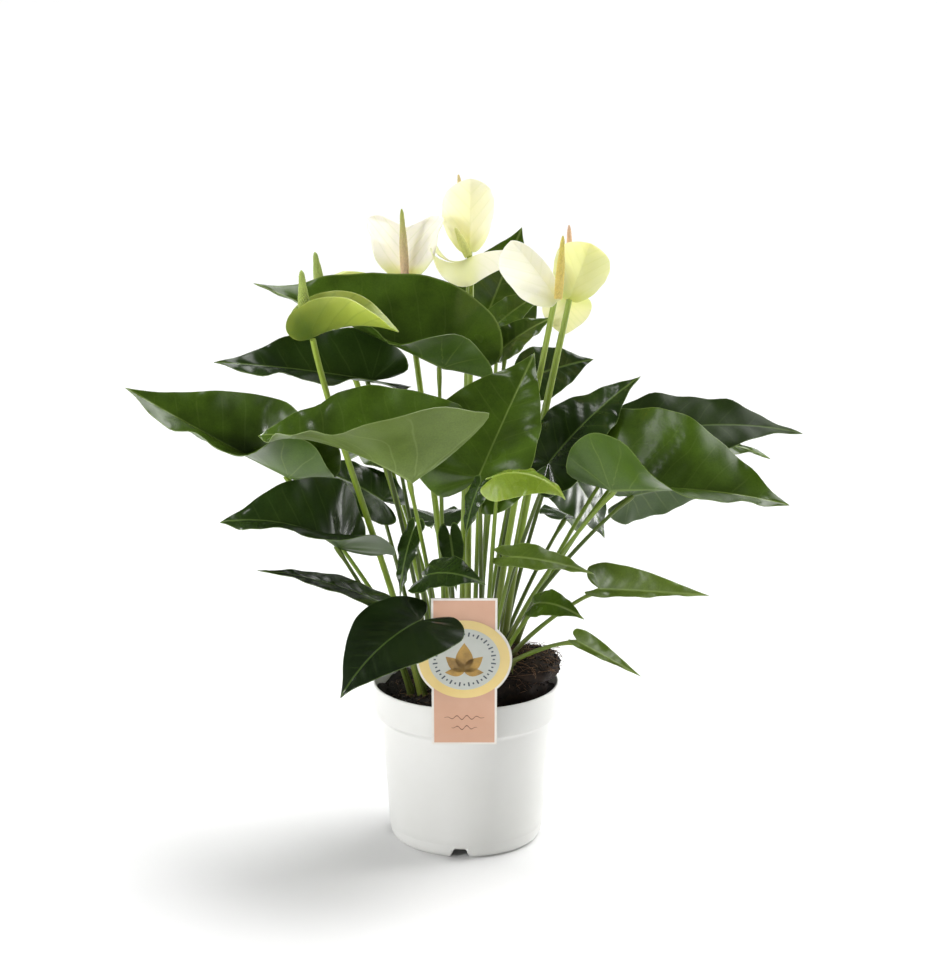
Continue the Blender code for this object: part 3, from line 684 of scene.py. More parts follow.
def peat_level(x: float, y: float) -> float:
    """Read the height of the loose peat's surface at a place."""
    return 97.0 + 2.0 * math.sin(0.11 * x + 0.4) * math.cos(0.13 * y) + 1.2 * math.sin(0.23 * y)


def soil_height(x: float, y: float) -> float:
    """Read the height of the peat, or of a root lump that stands out of it, at a place."""
    level = peat_level(x, y)
    for centre, radii in ROOT_LUMPS:
        inside = 1 - ((x - centre[0]) / radii[0])**2 - ((y - centre[1]) / radii[1])**2
        if inside > 0:
            level = max(level, centre[2] + radii[2] * math.sqrt(inside))
    return level


@dataclass(frozen=True)
class Stem:
    """A petiole or flower stalk that rises straight out of the peat and bows over to its end."""

    root: Pair
    bow: float = 0.12
    sway: Point = (0, 0, 0)
    steps: int = 26
    sides: int = 12
    depth: float = 8.65
    straight: float = 2.0
    knee_below: float = 4.0
    knee_reach: float = 5.5
    foot_swell: float = 0.35

    def path(self, end: np.ndarray) -> np.ndarray:
        """Run the stem's middle line to an end.

        Args:
            end: Where the stem ends.

        Returns:
            Points from its foot in the peat to that end.
        """
        surface = soil_height(*self.root)
        foot = np.array([self.root[0], self.root[1], surface - self.depth])
        collar = np.array([self.root[0], self.root[1], surface + self.straight])
        run = end - collar
        reach = math.hypot(run[0], run[1])
        sway = np.array(self.sway, float)
        first = collar + np.array([0.2 * run[0], 0.2 * run[1], 0.33 * run[2]]) + sway / 2
        second = collar + 0.7 * run + np.array([0, 0, self.bow * reach]) + sway
        t = np.linspace(0, 1, self.steps + 1)[:, None]
        curve = (1 - t)**3 * collar + 3 * (1 - t)**2 * t * first + 3 * (1 - t) * t**2 * second + t**3 * end
        return np.concatenate([[foot], curve])

    def build(self, piece: Piece, end: np.ndarray, radii: Pair, slot: int, knee: float = 0.0) -> None:
        """Add the stem to a piece.

        Args:
            piece: The piece that gets it.
            end: Where the stem ends.
            radii: Its radius at the foot and at the end.
            slot: Its material slot.
            knee: How much the swollen last stretch under a leaf adds to the radius.
        """
        path = self.path(end)
        share = np.linspace(0, 1, len(path))
        steps = np.linalg.norm(np.diff(path, axis=0), axis=1)
        to_end = np.concatenate([np.cumsum(steps[::-1])[::-1], [0.0]])
        swell = knee * np.exp(-((to_end - self.knee_below) / self.knee_reach)**2)
        collar = self.foot_swell * np.exp(-(share / 0.06)**2)
        points, faces, marks = tube(path, np.interp(share, [0, 1], radii) + swell + collar, self.sides)
        piece.add(points, faces, slot, marks)


class AgeAndShade(Enum):
    """How old a leaf is, which sets its greens; SHADED darkens the mature greens as painted shade for leaves
    inside the plant.
    """

    DULL = "dull"
    OLD = "old"
    MATURE = "mature"
    SHADED = "shaded"
    YOUNG = "young"
    FRESH = "fresh"


@dataclass(frozen=True)
class LeafFinish:
    """Living leaf of an anthurium: a waxy cuticle over dark green, with paler veins."""

    name: str
    deep: str
    bright: str
    vein: str
    roughness: float
    groove: float = 1.0
    mottle_mm: float = 34.0
    grain_mm: float = 1.1
    drift_mm: float = 26.0
    clear: float = 0.0
    wax: float = 0.5
    side_vein: float = 0.06
    rib: float = 0.42
    margin: float = 0.36

    def material(self) -> Material:
        """Build the leaf material, whose veins follow the blade's own attributes."""
        material, graph, shader = new_material(
            self.name, IOR=1.42, Specular_IOR_Level=self.wax, Subsurface_Weight=self.clear,
            Subsurface_Radius=(0.4, 1.0, 0.12), Subsurface_Scale=0.0012)
        mottle = graph.noise(self.mottle_mm, 3.0, 0.55)
        grain = graph.noise(self.grain_mm, 2.0)
        mask = self.vein_mask(graph)
        base = graph.mix(graph.ramp(mottle, 0.34, 0.66), self.deep, self.bright)
        flecked = graph.shade(base, graph.ramp(grain, 0.3, 0.7, 0.9, 1.1))
        height = graph.math("MULTIPLY_ADD", mask, -self.groove * 2, grain)
        graph.feed(shader, Base_Color=graph.mix(mask, flecked, self.vein),
                   Roughness=graph.ramp(mottle, 0.3, 0.7, self.roughness - 0.05, self.roughness + 0.07),
                   Normal=graph.bump(height, 0.35, 0.1))
        return material

    def vein_mask(self, graph: Graph) -> NodeSocket:
        """Draw midrib, side veins and margin from the blade's attributes.

        Args:
            graph: The material's graph.

        Returns:
            A socket that is strongest on the midrib and less on finer veins.
        """
        _, across, inward = graph.marks("blade")
        number, spacing, _ = graph.marks("vein")
        bent = graph.math("MULTIPLY_ADD", graph.noise(self.drift_mm, 1.0), 0.5, number)
        far = graph.math("MULTIPLY", graph.math("PINGPONG", bent, 0.5), spacing)
        side = graph.math("MULTIPLY", graph.ramp(far, 0.1, 0.7, self.side_vein, 0.0, smooth=True),
                          graph.ramp(inward, 1.0, 9.0, 0.15))
        rib = graph.ramp(across, 0.3, 1.1, self.rib, 0.0, smooth=True)
        margin = graph.ramp(inward, 0.1, 0.6, self.margin, 0.0, smooth=True)
        return graph.math("MAXIMUM", graph.math("MAXIMUM", side, rib), margin)


@dataclass(frozen=True)
class UndersideFinish(LeafFinish):
    """Lower face of a leaf: without the upper face's wax, paler and matt, with veins that stand out."""

    groove: float = -1.0
    side_vein: float = 0.2


# SHADED greens on both faces are the mature greens made darker: painted shade for leaves inside the plant
UPPER = {
    AgeAndShade.MATURE: LeafFinish("leaf_cuticle_mature", "#324510", "#486216", "#8ca053", 0.22),
    AgeAndShade.SHADED: LeafFinish("leaf_cuticle_shaded", "#1c2c0d", "#283c10", "#748c48", 0.2),
    AgeAndShade.DULL: LeafFinish("leaf_cuticle_dull", "#1f2d0e", "#2b3d12", "#70864a", 0.4, wax=0.16),
    AgeAndShade.OLD: LeafFinish("leaf_cuticle_old", "#0d1707", "#152309", "#586e34", 0.2),
    AgeAndShade.YOUNG: LeafFinish("leaf_cuticle_young", "#4d621e", "#5e7328", "#95a85c", 0.36, 0.8),
    AgeAndShade.FRESH: LeafFinish("leaf_cuticle_fresh", "#6d8425", "#8da035", "#b4c468", 0.3, 0.8, clear=0.15),
}
LOWER = {
    AgeAndShade.MATURE: UndersideFinish("leaf_underside_mature", "#375011", "#47611a", "#869a50", 0.36),
    AgeAndShade.DULL: UndersideFinish("leaf_underside_dull", "#32481b", "#415725", "#7b8e50", 0.45),
    AgeAndShade.OLD: UndersideFinish("leaf_underside_old", "#2a3c18", "#364a20", "#748648", 0.36),
    AgeAndShade.SHADED: UndersideFinish("leaf_underside_shaded", "#32481b", "#415725", "#7b8e50", 0.36),
    AgeAndShade.YOUNG: UndersideFinish("leaf_underside_young", "#57692d", "#667938", "#97a66a", 0.42, -0.8),
    AgeAndShade.FRESH: UndersideFinish("leaf_underside_fresh", "#758f34", "#8aa444", "#b4c674", 0.42, -0.8,
                               clear=0.15),
}


@dataclass(frozen=True)
class StemFinish:
    """Smooth herbaceous stem: yellow-green, paler at its foot, with fine lengthwise streaks."""

    name: str
    foot: str
    middle: str
    top: str
    streak_mm: float = 0.7

    def material(self) -> Material:
        """Build the stem material, whose colour follows the stem from foot to top."""
        material, graph, shader = new_material(self.name, Roughness=0.38, IOR=1.45)
        along = graph.marks("blade")[0]
        lower = graph.mix(graph.ramp(along, 0.04, 0.35, smooth=True), self.foot, self.middle)
        upper = graph.mix(graph.ramp(along, 0.55, 1.0, smooth=True), lower, self.top)
        place = graph.add("ShaderNodeAttribute", "Vector", attribute_name="blade")
        stretch = graph.add("ShaderNodeVectorMath", 0, {0: place, 1: (2.0, 3.0, 3.0)}, operation="MULTIPLY")
        streak = graph.add("ShaderNodeTexNoise", "Fac", {"Vector": stretch, "Scale": 2.0 / self.streak_mm,
                                                         "Detail": 2.0})
        graph.feed(shader, Base_Color=graph.shade(upper, graph.ramp(streak, 0.3, 0.7, 0.82, 1.12)))
        return material


PETIOLE = StemFinish("petiole_skin", "#667030", "#667d24", "#74892c")
# A darker copy of the petiole's greens: painted shade for the stems of SHADED and OLD leaves
SHADED_PETIOLE = StemFinish("petiole_skin_shaded", "#4b5424", "#495a1c", "#5c6f26")
STALK = StemFinish("flower_stalk_skin", "#778436", "#7d942c", "#90a53a")


@dataclass(frozen=True, kw_only=True)
class LeafPose(BladePose):
    """A leaf's blade and stem, its age, where SHADED stands for painted shade, and how far its margin waves.
    """

    age: AgeAndShade = AgeAndShade.MATURE
    under: AgeAndShade | None = None
    wave: float = 1.0


@dataclass(frozen=True, kw_only=True)
class FlowerPose(BladePose):
    """A flower's spathe and stalk, and where its spadix points."""

    spadix: Point
    thick: float = 5.5
    outline: Outline = Outline.HEART


def even(angle: float) -> tuple[Pair, Pair]:
    """Fold both halves alike, at the base and towards the tip."""
    return (angle, angle), (angle, angle)


# By number, as in the nodes' names
LEAVES = {
    1: LeafPose((-14, 5), (-14, 4, 309), (-133, 12, 361), 1.08, roll=-20, droop=4,
                fold=((90, 34), (45, 45)), curl=(0, -5), sides=(0.5, 1.0), reach=0.3),
    2: LeafPose((-22, 9), (-60, 15, 298), (-158, 0, 313), 0.9, roll=-40, droop=10,
                fold=((50, 40), (20, 15)), curl=(0, 0), age=AgeAndShade.SHADED),
    3: LeafPose((-27, 3), (-113, 12, 236), (-215, 8, 295), 1.0, roll=-42, droop=-8,
                fold=((78, 38), (55, 24)), curl=(25, 15)),
    4: LeafPose((-12, -11), (-32, -72, 254), (-128, -40, 275), 1.25, roll=-45, droop=75,
                fold=((125, 72), (10, 10)), curl=(0, -5), sides=(1.2, 1.05), reach=0.42,
                outline=Outline.EARED, under=AgeAndShade.YOUNG),
    5: LeafPose((-21, 24), (-46, 46, 256), (-62, 72, 254), 0.7, droop=20, fold=even(5), age=AgeAndShade.SHADED),
    6: LeafPose((5, -15), (8, -48, 251), (43, -8, 321), 1.08, roll=38, droop=28, fold=((0, 0), (40, 40)),
                curl=(6, -12), lobe=(-20, -40), sides=(1.3, 1.0)),
    7: LeafPose((10, -8), (8, -66, 249), (0, -71, 219), 0.85, droop=20, fold=even(5), age=AgeAndShade.SHADED),
    8: LeafPose((13, -18), (18, -80, 260), (60, -84, 246), 0.9, roll=30, droop=100, fold=even(-25),
                curl=(-20, -20), age=AgeAndShade.FRESH),
    9: LeafPose((16, 13), (43, 62, 291), (83, 67, 301), 1.3, roll=48, droop=15, fold=even(6),
                age=AgeAndShade.SHADED),
    10: LeafPose((8, 2), (24, 26, 317), (56, 30, 336), 0.9, roll=40, droop=30, fold=even(20)),
    11: LeafPose((5, 27), (12, 104, 318), (37, 116, 380), 1.3, roll=60, droop=10, fold=even(10)),
    12: LeafPose((9, 16), (20, 80, 321), (53, 80, 344), 0.9, roll=45, droop=30, fold=even(12)),
    13: LeafPose((18, -4), (52, -23, 254), (109, -9, 306), 1.0, roll=28, droop=25, fold=even(8),
                 age=AgeAndShade.SHADED),
    14: LeafPose((33, 7), (104, 42, 254), (216, 30, 260), 0.75, roll=32, droop=40, fold=even(8),
                 age=AgeAndShade.DULL),
    15: LeafPose((26, -9), (89, -56, 245), (196, -78, 241), 1.45, roll=40, droop=30,
                 fold=((10, 10), (118, 52)), curl=(-5, -5), reach=0.42, sides=(1.0, 0.7)),
    16: LeafPose((26, -1), (105, 12, 224), (168, 18, 224), 1.0, roll=-60, droop=40,
                 fold=((0, 0), (-10, -10)), age=AgeAndShade.SHADED),
    17: LeafPose((31, 15), (112, 62, 240), (200, 68, 234), 0.8, roll=15, droop=50, fold=even(5)),
    18: LeafPose((24, 22), (58, 60, 240), (92, 75, 178), 1.1, roll=62, droop=30, fold=even(5),
                 age=AgeAndShade.SHADED),
    19: LeafPose((31, -16), (84, -30, 174), (152, -45, 174), 0.5, roll=62, droop=15,
                 fold=((15, 15), (10, 10)), outline=Outline.WEDGE, sides=(1.1, 0.35), age=AgeAndShade.YOUNG),
    20: LeafPose((15, -27), (28, -48, 200), (79, -62, 193), 0.55, roll=38, droop=30, fold=even(5),
                 sides=(1.0, 0.75), age=AgeAndShade.YOUNG),
    21: LeafPose((23, -24), (44, -52, 171), (73, -66, 165), 0.8, roll=40, droop=85, fold=even(5)),
    22: LeafPose((30, -25), (70, -48, 145), (109, -70, 129), 0.34, roll=60, droop=20,
                 fold=((15, 15), (10, 10)), outline=Outline.WEDGE, sides=(1.2, 0.5), age=AgeAndShade.YOUNG),
    23: LeafPose((-36, -13), (-57, -32, 167), (-130, -40, 189), 0.55, roll=-8, droop=20, fold=even(10),
                 wave=0.4, age=AgeAndShade.SHADED),
    24: LeafPose((-35, -3), (-80, -22, 199), (-153, -37, 219), 1.3, roll=-50, droop=90,
                 fold=((90, 64), (10, 10)), curl=(-15, -5), lobe=(20, 20), age=AgeAndShade.SHADED),
    25: LeafPose((-28, 14), (-55, 45, 212), (-114, 62, 232), 0.8, roll=-35, droop=40, fold=even(6),
                 age=AgeAndShade.SHADED),
    26: LeafPose((-19, -12), (-33, -34, 212), (-41, -49, 174), 0.6, roll=20, droop=20, fold=even(5),
                 age=AgeAndShade.SHADED),
    27: LeafPose((-26, -20), (-28, -95, 173), (-75, -128, 135), 1.45, roll=-10, droop=45, fold=even(5),
                 sway=(-9, 0, 0), wave=0.25, age=AgeAndShade.OLD),
    28: LeafPose((-18, -22), (-24, -62, 192), (12, -88, 194), 1.0, roll=28, droop=50, fold=even(5),
                 age=AgeAndShade.SHADED),
    29: LeafPose((-7, -4), (-10, -20, 206), (-6, -30, 172), 0.6, roll=10, droop=20, fold=even(5),
                 age=AgeAndShade.SHADED),
    30: LeafPose((-12, 33), (-50, 76, 230), (-80, 134, 216), 0.9, droop=50),
    31: LeafPose((10, 38), (34, 84, 234), (60, 135, 222), 0.7, droop=55),
    32: LeafPose((-2, 36), (-20, 74, 190), (-24, 135, 168), 0.8, droop=50, age=AgeAndShade.SHADED),
    33: LeafPose((17, 29), (66, 84, 190), (76, 134, 166), 0.85, droop=50, age=AgeAndShade.SHADED),
}
FLOWERS = {
    1: FlowerPose((-29, -10), (-96, -34, 335), (-41, -38, 340), 1.05, droop=50, fold=even(58),
                  curl=(10, 10), spadix=(-100, -36, 378), thick=7.5, sway=(-9, 12, 0)),
    2: FlowerPose((-15, 19), (-91, 40, 347), (-56, 48, 359), 0.9, roll=-10, droop=40, fold=even(40),
                  spadix=(-96, 42, 376), thick=6.5, sway=(0, 8, 0)),
    3: FlowerPose((-8, 15), (-39, 55, 356), (-38, 75, 392), 2.0, droop=-10, fold=even(20), curl=(50, 50),
                  outline=Outline.TWIN, spadix=(-41, 53, 402)),
    4: FlowerPose((-3, 25), (2, 76, 370), (3, 68, 419), 1.15, droop=-15, fold=even(20), curl=(35, 35),
                  outline=Outline.CUP, spadix=(-5, 88, 419)),
    5: FlowerPose((1, 8), (1, 50, 370), (44, 46, 372), 1.0, roll=8, droop=50, fold=((-20, -20), (-30, -25)),
                  curl=(-15, -15), outline=Outline.SADDLE, spadix=(-7, 53, 390), lobe=(35, 35)),
    6: FlowerPose((18, 5), (57, 0, 352), (28, 12, 388), 1.5, roll=-40, droop=20, fold=even(12),
                  curl=(15, 15), outline=Outline.CUP, spadix=(60, -4, 394), sides=(1.0, 0.3)),
    7: FlowerPose((25, 9), (65, 20, 349), (78, 14, 386), 1.45, roll=-71, droop=-5, fold=even(20),
                  curl=(30, 30), outline=Outline.CUP, spadix=(65, 32, 395)),
    8: FlowerPose((23, 15), (65, 42, 345), (62, 32, 324), 1.7, droop=10, fold=even(5),
                  spadix=(72, 46, 360)),
}


class SharedFinishes:
    """Materials that many pieces wear, each made once."""

    def __init__(self) -> None:
        """Make the leaf and stem materials."""
        self.upper = {age: finish.material() for age, finish in UPPER.items()}
        self.lower = {age: finish.material() for age, finish in LOWER.items()}
        self.petiole = PETIOLE.material()
        self.shaded_petiole = SHADED_PETIOLE.material()
        self.stalk = STALK.material()


@dataclass
class Leaf:
    """One leaf: a heart-shaped blade grown in one piece with its petiole."""

    node: str
    pose: LeafPose
    finishes: SharedFinishes
    relief: Relief = Relief()
    petiole_radii: Pair = (1.6, 1.15)
    knee: float = 0.65
    held_at: float = 0.02
    held_below: float = 1.25

    def build(self) -> None:
        """Build the leaf and hand it to the frame."""
        blade = Blade(self.pose)
        piece = Piece()
        relief = replace(self.relief, wave=self.relief.wave * self.pose.wave)
        BladeShell(blade, relief, seed=int(self.node[-2:])).build(piece, 0, 1)
        start, _, normal = blade.midrib(np.array(self.held_at))
        stem = Stem(self.pose.root, sway=self.pose.sway)
        stem.build(piece, start - normal * self.held_below, self.petiole_radii, 2, self.knee)
        age = self.pose.age
        under = self.pose.under or age
        # SHADED and OLD leaves get the darker petiole, which is painted shade
        shaded = age in (AgeAndShade.SHADED, AgeAndShade.OLD)
        petiole = self.finishes.shaded_petiole if shaded else self.finishes.petiole
        item = piece.build(self.node + "_living",
                           [self.finishes.upper[age], self.finishes.lower[under], petiole])
        settle(item, self.node)


@dataclass(frozen=True)
class SpatheFinish:
    """Waxy bract: cream, green towards its base and tip, and lit through where it is thin."""

    name: str
    face: str
    base: str
    tip: str
    back: str
    base_reach: float = 0.35
    tip_reach: float = 0.8
    cloud_mm: float = 50 / 3
    grain_mm: float = 0.9

    def both(self) -> list[Material]:
        """Build the materials of the inner face and of the greener outer face."""
        outer = replace(self, name=self.name + "_back", face=self.back)
        return [self.material(), outer.material()]

    def material(self) -> Material:
        """Build the spathe material, whose colour follows the blade from base to tip."""
        material, graph, shader = new_material(
            self.name, Roughness=0.42, IOR=1.42, Subsurface_Weight=0.8,
            Subsurface_Radius=(1.0, 0.95, 0.6), Subsurface_Scale=0.004)
        number, spacing, _ = graph.marks("vein")
        drift = graph.math("MULTIPLY_ADD", graph.noise(self.cloud_mm, 3.0), 0.3, graph.marks("blade")[0])
        low = graph.ramp(drift, 0.12, 0.15 + self.base_reach, smooth=True)
        high = graph.ramp(drift, self.tip_reach + 0.1, 1.2, smooth=True)
        upper = graph.mix(high, graph.mix(low, self.base, self.face), self.tip)
        far = graph.math("MULTIPLY", graph.math("PINGPONG", number, 0.5), spacing)
        line = graph.ramp(far, 0.1, 0.9, 0.2, 0.0, smooth=True)
        ridge = graph.math("MULTIPLY_ADD", line, 5.0, graph.noise(self.grain_mm, 1.0))
        graph.feed(shader, Base_Color=graph.mix(line, upper, self.base), Normal=graph.bump(ridge, 0.3, 0.1))
        return material


@dataclass(frozen=True)
class SpadixFinish:
    """Spike of tiny florets: yellow beads, each a little lighter or darker than the next."""

    name: str
    foot: str
    tip: str

    def material(self) -> Material:
        """Build the spadix material, whose colour follows the spike and varies by floret."""
        material, graph, shader = new_material(self.name, Roughness=0.5, Subsurface_Weight=0.15,
                                               Subsurface_Radius=(1.0, 0.8, 0.3), Subsurface_Scale=0.001)
        along, draw, _ = graph.marks("floret")
        blend = graph.mix(along, self.foot, self.tip)
        graph.feed(shader, Base_Color=graph.shade(blend, graph.ramp(draw, 0.0, 1.0, 0.92, 1.06)))
        return material


SPATHES = {
    1: SpatheFinish("spathe_green", "#8c9b3e", "#4a6320", "#7f9335", "#84943a", 0.6),
    2: SpatheFinish("spathe_lime", "#ccd88c", "#9db552", "#b9c870", "#c0cd78"),
    3: SpatheFinish("spathe_blush", "#f8efdc", "#c8cf8c", "#f4ead8", "#e4e4ba"),
    4: SpatheFinish("spathe_cream", "#eee7be", "#dadc98", "#ece7c6", "#f4eec0"),
    5: SpatheFinish("spathe_open", "#ece5ca", "#d8d9a4", "#dcd3c0", "#e2ddb8"),
    6: SpatheFinish("spathe_cupped", "#f4edca", "#e0e0a6", "#f3eacf", "#ece8ba"),
    7: SpatheFinish("spathe_folded", "#e0db94", "#bac470", "#d9d89c", "#cdd29c"),
    8: SpatheFinish("spathe_low", "#e8e6b0", "#c8d188", "#dfe0a4", "#dcdca0"),
}
SPADICES = {
    1: SpadixFinish("spadix_green", "#a3b356", "#9bad52"),
    2: SpadixFinish("spadix_lime", "#a9b85e", "#9cae58"),
    3: SpadixFinish("spadix_blush", "#f0cfae", "#a4b04c"),
    4: SpadixFinish("spadix_straw", "#dcc987", "#d3c184"),
    5: SpadixFinish("spadix_gold", "#cdd274", "#d6d486"),
    6: SpadixFinish("spadix_orange", "#dfc974", "#cfc25c"),
    7: SpadixFinish("spadix_ochre", "#dcb489", "#dcb796"),
    8: SpadixFinish("spadix_low", "#d6c47c", "#cbbb70"),
}


@dataclass(frozen=True)
class PlainFinish:
    """A matt or satin stuff whose two tones are mixed by noise, with a fine grain in relief."""

    name: str
    first: str
    second: str
    roughness: float
    mottle_mm: float
    grain_mm: float
    relief_mm: float
    soft: float = 0.0

    def material(self) -> Material:
        """Build the material from its tones and scales."""
        material, graph, shader = new_material(self.name, Subsurface_Weight=self.soft,
                                               Subsurface_Radius=(1.0, 1.0, 0.95), Subsurface_Scale=0.002)
        share = graph.ramp(graph.noise(self.mottle_mm, 4.0, 0.6), 0.35, 0.65)
        grain = graph.noise(self.grain_mm, 3.0)
        glossy, matt = max(0.05, self.roughness - 0.05), min(1.0, self.roughness + 0.05)
        graph.feed(shader, Base_Color=graph.mix(share, self.first, self.second),
                   Roughness=graph.ramp(grain, 0.3, 0.7, glossy, matt),
                   Normal=graph.bump(grain, 0.6, self.relief_mm))
        return material


# Injection-moulded white polypropylene: the eye sees a satin skin with faint handling marks
POT_SKIN = PlainFinish("moulded_polypropylene", "#d7d7d4", "#d4d4d0", 0.34, 60.0, 0.8, 0.01, soft=0.06)
# Sphagnum peat: nearly black where moist, brown where its crumbs have dried
PEAT = PlainFinish("peat", "#0c0805", "#1d130b", 0.95, 9.0, 1.2, 0.5)
CRUMB = PlainFinish("peat_crumb", "#0c0805", "#22160e", 0.95, 4.0, 0.8, 0.2)
# Coir: dry husk fibre, straw brown against the dark peat
COIR = PlainFinish("coir_fibre", "#3a2716", "#735434", 0.8, 5.0, 0.5, 0.05)
ROOT_BALL = PlainFinish("root_ball", "#130c07", "#2c1e13", 0.95, 6.0, 1.0, 0.6)
# Offset-printed card under a satin varnish
CARD = PlainFinish("card_border", "#dfdbd4", "#dad6ce", 0.45, 20.0, 0.3, 0.008)
PEACH_INK = PlainFinish("card_peach_ink", "#c99f86", "#c4997f", 0.42, 30.0, 0.3, 0.008)
YELLOW_INK = PlainFinish("card_yellow_ink", "#e4cc88", "#dfc57e", 0.42, 30.0, 0.3, 0.008)
GREY_INK = PlainFinish("card_grey_ink", "#c2c5be", "#bdc0b8", 0.42, 14.0, 0.3, 0.008)
BROWN_INK = PlainFinish("card_brown_ink", "#7d5c48", "#745440", 0.42, 30.0, 0.3, 0.008)
SLATE_INK = PlainFinish("card_slate_ink", "#4a5158", "#434a52", 0.42, 30.0, 0.3, 0.008)
GOLD_INK = PlainFinish("card_gold_ink", "#b8913f", "#8a6a30", 0.38, 9.0, 0.3, 0.008)
# Painted studio floor, almost white
SWEEP = PlainFinish("studio_sweep", "#f6f6f6", "#f3f3f3", 0.7, 300.0, 6.0, 0.02)


class Grower:
    """A Geometry Nodes tree with named inputs that is run once on a carrier mesh."""

    def __init__(self, name: str, sockets: dict[str, str]) -> None:
        """Start the tree.

        Args:
            name: The tree's name.
            sockets: Each input's name and socket type, after the carrier's own geometry.
        """
        self.tree = bpy.data.node_groups.new(name, "GeometryNodeTree")
        interface = self.tree.interface
        interface.new_socket("Carrier", in_out="INPUT", socket_type="NodeSocketGeometry")
        self.keys = {}
        for label, kind in sockets.items():
            self.keys[label] = interface.new_socket(label, in_out="INPUT", socket_type=kind).identifier
        interface.new_socket("Grown", in_out="OUTPUT", socket_type="NodeSocketGeometry")
        self.graph = Graph(self.tree)
        self.given = add_node(self.tree, "NodeGroupInput").outputs

    def close(self, points: NodeSocket, form: NodeSocket, turn: NodeSocket,
              scale: NodeSocket) -> None:
        """Set a form on each point and end the tree with real geometry in its finish."""
        placed = self.graph.add("GeometryNodeInstanceOnPoints", 0,
                                {"Points": points, "Instance": form, "Rotation": turn, "Scale": scale})
        real = self.graph.add("GeometryNodeRealizeInstances", 0, {0: placed})
        smooth = self.graph.add("GeometryNodeSetShadeSmooth", 0, {0: real})
        dressed = self.graph.add("GeometryNodeSetMaterial", 0,
                                 {"Geometry": smooth, "Material": self.given["Finish"]})
        add_node(self.tree, "NodeGroupOutput", {0: dressed})

    def run(self, name: str, carrier: Object, **values) -> Object:
        """Grow on a carrier, which is then removed.

        Args:
            name: The new object's name.
            carrier: The mesh object that the tree works on.
            values: Inputs by name, with _ for each space.

        Returns:
            A plain mesh object.
        """
        modifier = carrier.modifiers.new("grow", "NODES")
        modifier.node_group = self.tree
        for label, value in values.items():
            modifier[self.keys[label.replace("_", " ")]] = value
        graph = bpy.context.evaluated_depsgraph_get()
        mesh = bpy.data.meshes.new_from_object(carrier.evaluated_get(graph))
        bpy.data.objects.remove(carrier, do_unlink=True)
        return add_object(name, mesh)


def bead_grower() -> Grower:
    """Set a bead on every point, turned along the point's own outward direction.

    Returns:
        The tree, with inputs for the beads' size, flatness and finish.
    """
    grower = Grower("florets", {"Bead Size": "NodeSocketFloat", "Flatness": "NodeSocketFloat",
                                "Finish": "NodeSocketMaterial"})
    graph = grower.graph
    given = grower.given
    bead = graph.add("GeometryNodeMeshUVSphere", "Mesh", {"Radius": 0.5, "Segments": 8, "Rings": 5})
    outward, floret = [graph.add("GeometryNodeInputNamedAttribute", "Attribute", {"Name": name},
                                 data_type="FLOAT_VECTOR") for name in ("outward", "floret")]
    own_size = graph.add("ShaderNodeSeparateXYZ", "Z", {0: floret})
    aim = graph.add("FunctionNodeAlignRotationToVector", 0, {"Vector": outward}, axis="Z")
    size = given["Bead Size"]
    shape = graph.add("ShaderNodeCombineXYZ", 0,
                      {0: size, 1: size, 2: graph.math("MULTIPLY", size, given["Flatness"])})
    sized = graph.add("ShaderNodeVectorMath", 0, {0: shape, "Scale": own_size}, operation="SCALE")
    points = graph.add("GeometryNodeMeshToPoints", 0, {0: given["Carrier"]})
    grower.close(points, bead, aim, sized)
    return grower


